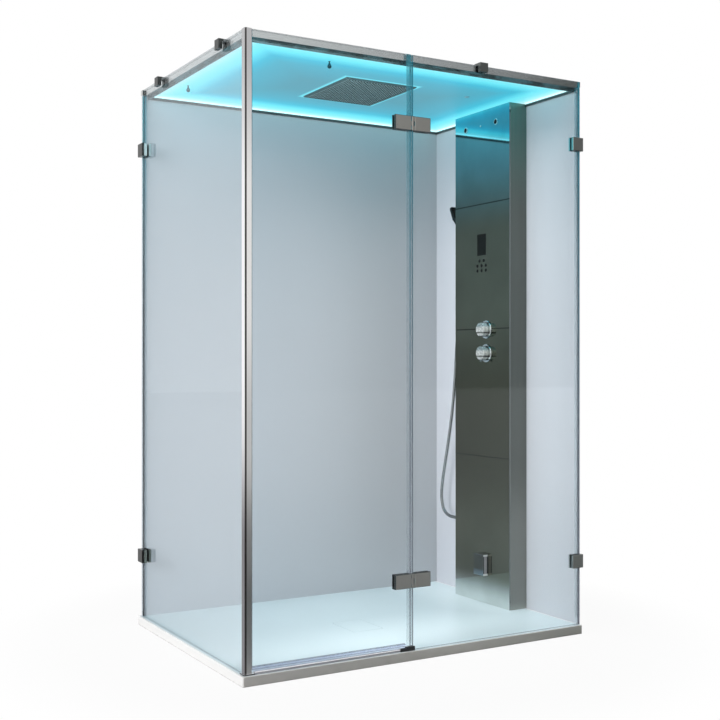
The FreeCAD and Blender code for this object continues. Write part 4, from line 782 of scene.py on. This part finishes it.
# %% Lamps of the column
def lamp_rings():
    """Pale rings round dark lenses, on the axes of the two lamps."""
    f = Finish("lamp_ring")
    (_, y0, z0), (_, y1, z1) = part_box("column_lamps")
    radius, rise = (z1 - z0) / 2, f.z - (z0 + z1) / 2
    first, second = f.y - (y0 + radius), f.y - (y1 - radius)
    near = (first * first).least(second * second) + rise * rise
    lens = f.step(near, (0.80 * radius) ** 2, (0.76 * radius) ** 2)
    place = f.noise(50.0, 2.0)
    tone = f.mix(lens, f.mix(place, (0.20, 0.52, 0.58), (0.34, 0.68, 0.74)), (0.002, 0.007, 0.010))
    return f.end(f.principled(Base_Color=tone, Metallic=0.4, Roughness=0.12 + 0.1 * place,
                              Specular_IOR_Level=0.1))


paint(lamp_rings(), "column_lamps")
print("column lamps painted")


# %% [markdown]
# ## The shower hose
# A spiral-wound metal hose hangs from the hand shower, drops behind the column and loops back into an
# outlet. It is one smooth NURBS line, drawn through a few points, with a round section carried along it. The
# windings are rings of slightly larger radius, close together, so the edge of the hose really is ribbed.

# %% Hose line
HOSE_POINTS = [(0.652, 0.228, 1.500), (0.652, 0.228, 1.455), (0.651, 0.2265, 1.395), (0.650, 0.231, 1.300),
               (0.650, 0.241, 1.190), (0.650, 0.253, 1.080), (0.651, 0.264, 0.960), (0.652, 0.283, 0.830),
               (0.652, 0.311, 0.700), (0.652, 0.338, 0.595), (0.652, 0.359, 0.515), (0.652, 0.373, 0.440),
               (0.652, 0.359, 0.376), (0.652, 0.318, 0.3515), (0.652, 0.270, 0.350), (0.652, 0.231, 0.350)]
HOSE_DIAMETER = 0.014
RING_SPACING = 0.0016
RIB_DEPTH = 0.0007


def nurbs_line(points, resolution=24):
    """The points of a smooth NURBS line through a list of control points."""
    curve = bpy.data.curves.new("line", "CURVE")
    curve.dimensions, curve.resolution_u = "3D", resolution
    spline = curve.splines.new("NURBS")
    spline.points.add(len(points) - 1)
    for knot, point in zip(spline.points, points):
        knot.co = (*point, 1.0)
    spline.order_u, spline.use_endpoint_u = 3, True
    holder = bpy.data.objects.new("line", curve)
    mesh = bpy.data.meshes.new_from_object(holder)
    line = [vertex.co.copy() for vertex in mesh.vertices]
    bpy.data.objects.remove(holder)
    bpy.data.curves.remove(curve)
    bpy.data.meshes.remove(mesh)
    return line


def evenly(line, spacing):
    """Points a fixed distance apart along a line."""
    lengths = [0.0]
    for a, b in zip(line, line[1:]):
        lengths.append(lengths[-1] + (b - a).length)
    count = round(lengths[-1] / spacing)
    found, i = [], 0
    for step in range(count + 1):
        goal = lengths[-1] * step / count
        while i < len(line) - 2 and lengths[i + 1] < goal:
            i += 1
        share = (goal - lengths[i]) / max(lengths[i + 1] - lengths[i], 1e-9)
        found.append(line[i].lerp(line[i + 1], min(max(share, 0.0), 1.0)))
    return found, lengths[-1]


def face_rank(face, base):
    """A number that sorts faces by their vertices, since extruding makes them in no fixed order."""
    corners = [vertex.index for vertex in face.verts]
    return min(corners) * base + max(corners)


def ribbed_tube(line, radii, sides):
    """A round tube along a line: one ring of edges, extruded from point to point."""
    bm = bmesh.new()
    side = Vector((1.0, 0.0, 0.0))
    before = None
    for i, point in enumerate(line):
        ahead, behind = line[min(i + 1, len(line) - 1)], line[max(i - 1, 0)]
        way = (ahead - behind).normalized()
        side = (side - way * side.dot(way)).normalized()
        turn = Matrix((side, way.cross(side), way)).transposed().to_4x4()
        place = Matrix.Translation(point) @ turn @ Matrix.Diagonal((radii[i], radii[i], 1.0, 1.0))
        if before is None:
            ring = bmesh.ops.create_circle(bm, segments=sides, radius=1.0)["verts"]
            edges = list(bm.edges)
        else:
            made = bmesh.ops.extrude_edge_only(bm, edges=edges)["geom"]
            edges = [e for e in made if isinstance(e, bmesh.types.BMEdge)]
            ring = [v for v in made if isinstance(v, bmesh.types.BMVert)]
            back = before.inverted()
            for v in ring:
                v.co = back @ v.co
        for v in ring:
            v.co = place @ v.co
        before = place
    bmesh.ops.holes_fill(bm, edges=[e for e in bm.edges if e.is_boundary], sides=0)
    bm.verts.index_update()
    bm.faces.sort(key=lambda face: face_rank(face, len(bm.verts)))
    return bm


def chrome_hose():
    f = Finish("chrome_hose")
    grime = f.noise(90.0, 3.0)
    tone = f.mix(grime, (0.26, 0.28, 0.28), (0.46, 0.48, 0.48))
    return f.end(f.principled(Base_Color=tone, Metallic=1.0, Roughness=0.16 + 0.14 * grime))


HOSE_LINE, line_length = evenly(nurbs_line(HOSE_POINTS), RING_SPACING)
print("hose line %.4f m" % line_length)
HOSE_RADII = [HOSE_DIAMETER / 2 - RIB_DEPTH * (i % 2) for i in range(len(HOSE_LINE))]
hose = new_piece("shower_hose_wound", ribbed_tube(HOSE_LINE, HOSE_RADII, 16), chrome_hose(),
                 body=None, smooth=True)
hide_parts("shower_hose")
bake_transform(hose)


# %% [markdown]
# ## Floor, lamps and camera
# The cabin is shown on a white page. A plain white floor carries a soft shadow near the object, and for the
# camera it brightens to white so that no horizon shows. Two large soft lamps light the outside: the main one
# from the left, a weaker one from behind. Inside, three weak lamps stand in for the many bounces of the
# ceiling's light between the glossy walls.

# %% Floor
FLOOR_REACH = 30.0


def floor():
    """Lit grey near the object, white page for the camera, and bright in reflections at the left."""
    f = Finish("floor_white")
    far = f.x * f.x + f.y * f.y
    front_right = 0.6 * f.x - 0.8 * f.y
    path = f.node("LightPath", out=None)
    camera_ray, glossy_ray, through = (Value(f, path.outputs["Is %s Ray" % kind])
                                       for kind in ("Camera", "Glossy", "Transmission"))
    lit = f.node("BsdfDiffuse", inputs={"Color": (0.55, 0.55, 0.55)})
    white = f.node("Emission", inputs={"Color": (1.0, 1.0, 1.0), "Strength": 1.0})
    page = camera_ray.most(through) * (0.95 + 0.05 * f.step(far, 0.9, 2.2))
    mirrored = glossy_ray * (0.9 * f.step(front_right, 0.4, -0.3) + 0.8 * f.step(front_right, 2.2, 7.0))
    material = f.end(f.node("MixShader", inputs={0: page.most(mirrored), 1: lit, 2: white}))
    bm = bmesh.new()
    bmesh.ops.create_grid(bm, x_segments=1, y_segments=1, size=FLOOR_REACH)
    mesh = bpy.data.meshes.new("floor")
    bm.to_mesh(mesh)
    bm.free()
    ground = bpy.data.objects.new("floor", mesh)
    ground.data.materials.append(material)
    bpy.context.scene.collection.objects.link(ground)
    print("floor of %.0f m" % (2 * FLOOR_REACH))


floor()


# %% World
DIM_SIDE = (0.85, -0.52, 0.0)        # towards here, the world is dim for gloss


def world():
    """White to the camera; for gloss, white behind and at the left, dim at the right front."""
    scene_world = bpy.data.worlds.new("studio")
    bpy.context.scene.world = scene_world
    scene_world.use_nodes = True
    tree = scene_world.node_tree
    tree.nodes.clear()
    add = tree.nodes.new
    out, path = add("ShaderNodeOutputWorld"), add("ShaderNodeLightPath")
    where = add("ShaderNodeTexCoord")
    dot = add("ShaderNodeVectorMath")
    dot.operation = "DOT_PRODUCT"
    dot.inputs[1].default_value = DIM_SIDE
    tree.links.new(where.outputs["Generated"], dot.inputs[0])
    fade = add("ShaderNodeMapRange")
    fade.interpolation_type = "SMOOTHSTEP"
    for key, value in {"From Min": 0.77, "From Max": 0.95, "To Min": 1.0, "To Max": 0.08}.items():
        fade.inputs[key].default_value = value
    tree.links.new(dot.outputs["Value"], fade.inputs["Value"])
    white, page, dim = (add("ShaderNodeBackground") for _ in range(3))
    dim.inputs["Color"].default_value = (0.96, 0.98, 1.0, 1.0)
    dim.inputs["Strength"].default_value = 0.17
    page.inputs["Color"].default_value = (1.0, 1.0, 1.0, 1.0)
    tree.links.new(fade.outputs[0], page.inputs["Strength"])
    white.inputs["Color"].default_value = (1.0, 1.0, 1.0, 1.0)
    glossy, seen = add("ShaderNodeMixShader"), add("ShaderNodeMixShader")
    tree.links.new(path.outputs["Is Glossy Ray"], glossy.inputs[0])
    tree.links.new(dim.outputs[0], glossy.inputs[1])
    tree.links.new(page.outputs[0], glossy.inputs[2])
    direct = add("ShaderNodeMath")
    direct.operation = "MAXIMUM"
    tree.links.new(path.outputs["Is Camera Ray"], direct.inputs[0])
    tree.links.new(path.outputs["Is Transmission Ray"], direct.inputs[1])
    tree.links.new(direct.outputs[0], seen.inputs[0])
    tree.links.new(glossy.outputs[0], seen.inputs[1])
    tree.links.new(white.outputs[0], seen.inputs[2])
    tree.links.new(seen.outputs[0], out.inputs["Surface"])


world()


# %% Lamps
def lamp(name, place, aim, size, power, colour=(1.0, 1.0, 1.0), spread=180.0):
    """An area lamp that lights the cabin but shows in no reflection."""
    data = bpy.data.lights.new(name, "AREA")
    data.shape, data.size, data.size_y = "RECTANGLE", *size
    data.energy, data.color, data.spread = power, colour, math.radians(spread)
    made = bpy.data.objects.new(name, data)
    made.location = place
    made.rotation_euler = (Vector(aim) - Vector(place)).to_track_quat("-Z", "Y").to_euler()
    made.visible_camera = False
    made.visible_glossy = False
    made.visible_transmission = False
    bpy.context.scene.collection.objects.link(made)
    print("lamp", name, power, "W")


lamp("key_left", (-4.6, -0.6, 2.3), (0.0, 0.0, 1.0), (3.0, 2.6), 200.0, (1.0, 0.985, 0.97))
lamp("fill_behind", (3.2, 4.2, 2.8), (0.2, 0.3, 1.0), (3.0, 3.0), 110.0)
lamp("wall_wash", (-0.30, -0.44, 1.05), (-0.25, 0.48, 1.05), (0.60, 1.90), 6.3, (0.97, 0.955, 0.935))
lamp("down_wash", (0.22, -0.06, 2.03), (0.22, -0.06, 0.0), (0.85, 0.7), 4.9, (0.96, 0.965, 0.95), 80.0)
lamp("right_wash", (-0.25, -0.42, 1.1), (0.70, -0.30, 1.1), (0.30, 1.80), 1.7, (0.96, 0.96, 0.94))


# %% Camera
camera = bpy.data.objects.new("camera", bpy.data.cameras.new("camera"))
camera.data.sensor_width, camera.data.lens = 36.0, 56.2
camera.data.dof.use_dof = False
camera.data.clip_end = 100.0
camera.location = (-2.16407, -3.74697, 1.03366)
camera.rotation_euler = (math.radians(90.0), 0.0, math.radians(-30.22))
bpy.context.scene.collection.objects.link(camera)
bpy.context.scene.camera = camera
bpy.context.scene.view_settings.view_transform = "Standard"
print("camera at", tuple(round(c, 3) for c in camera.location))


# %% The end
bpy.context.view_layer.update()
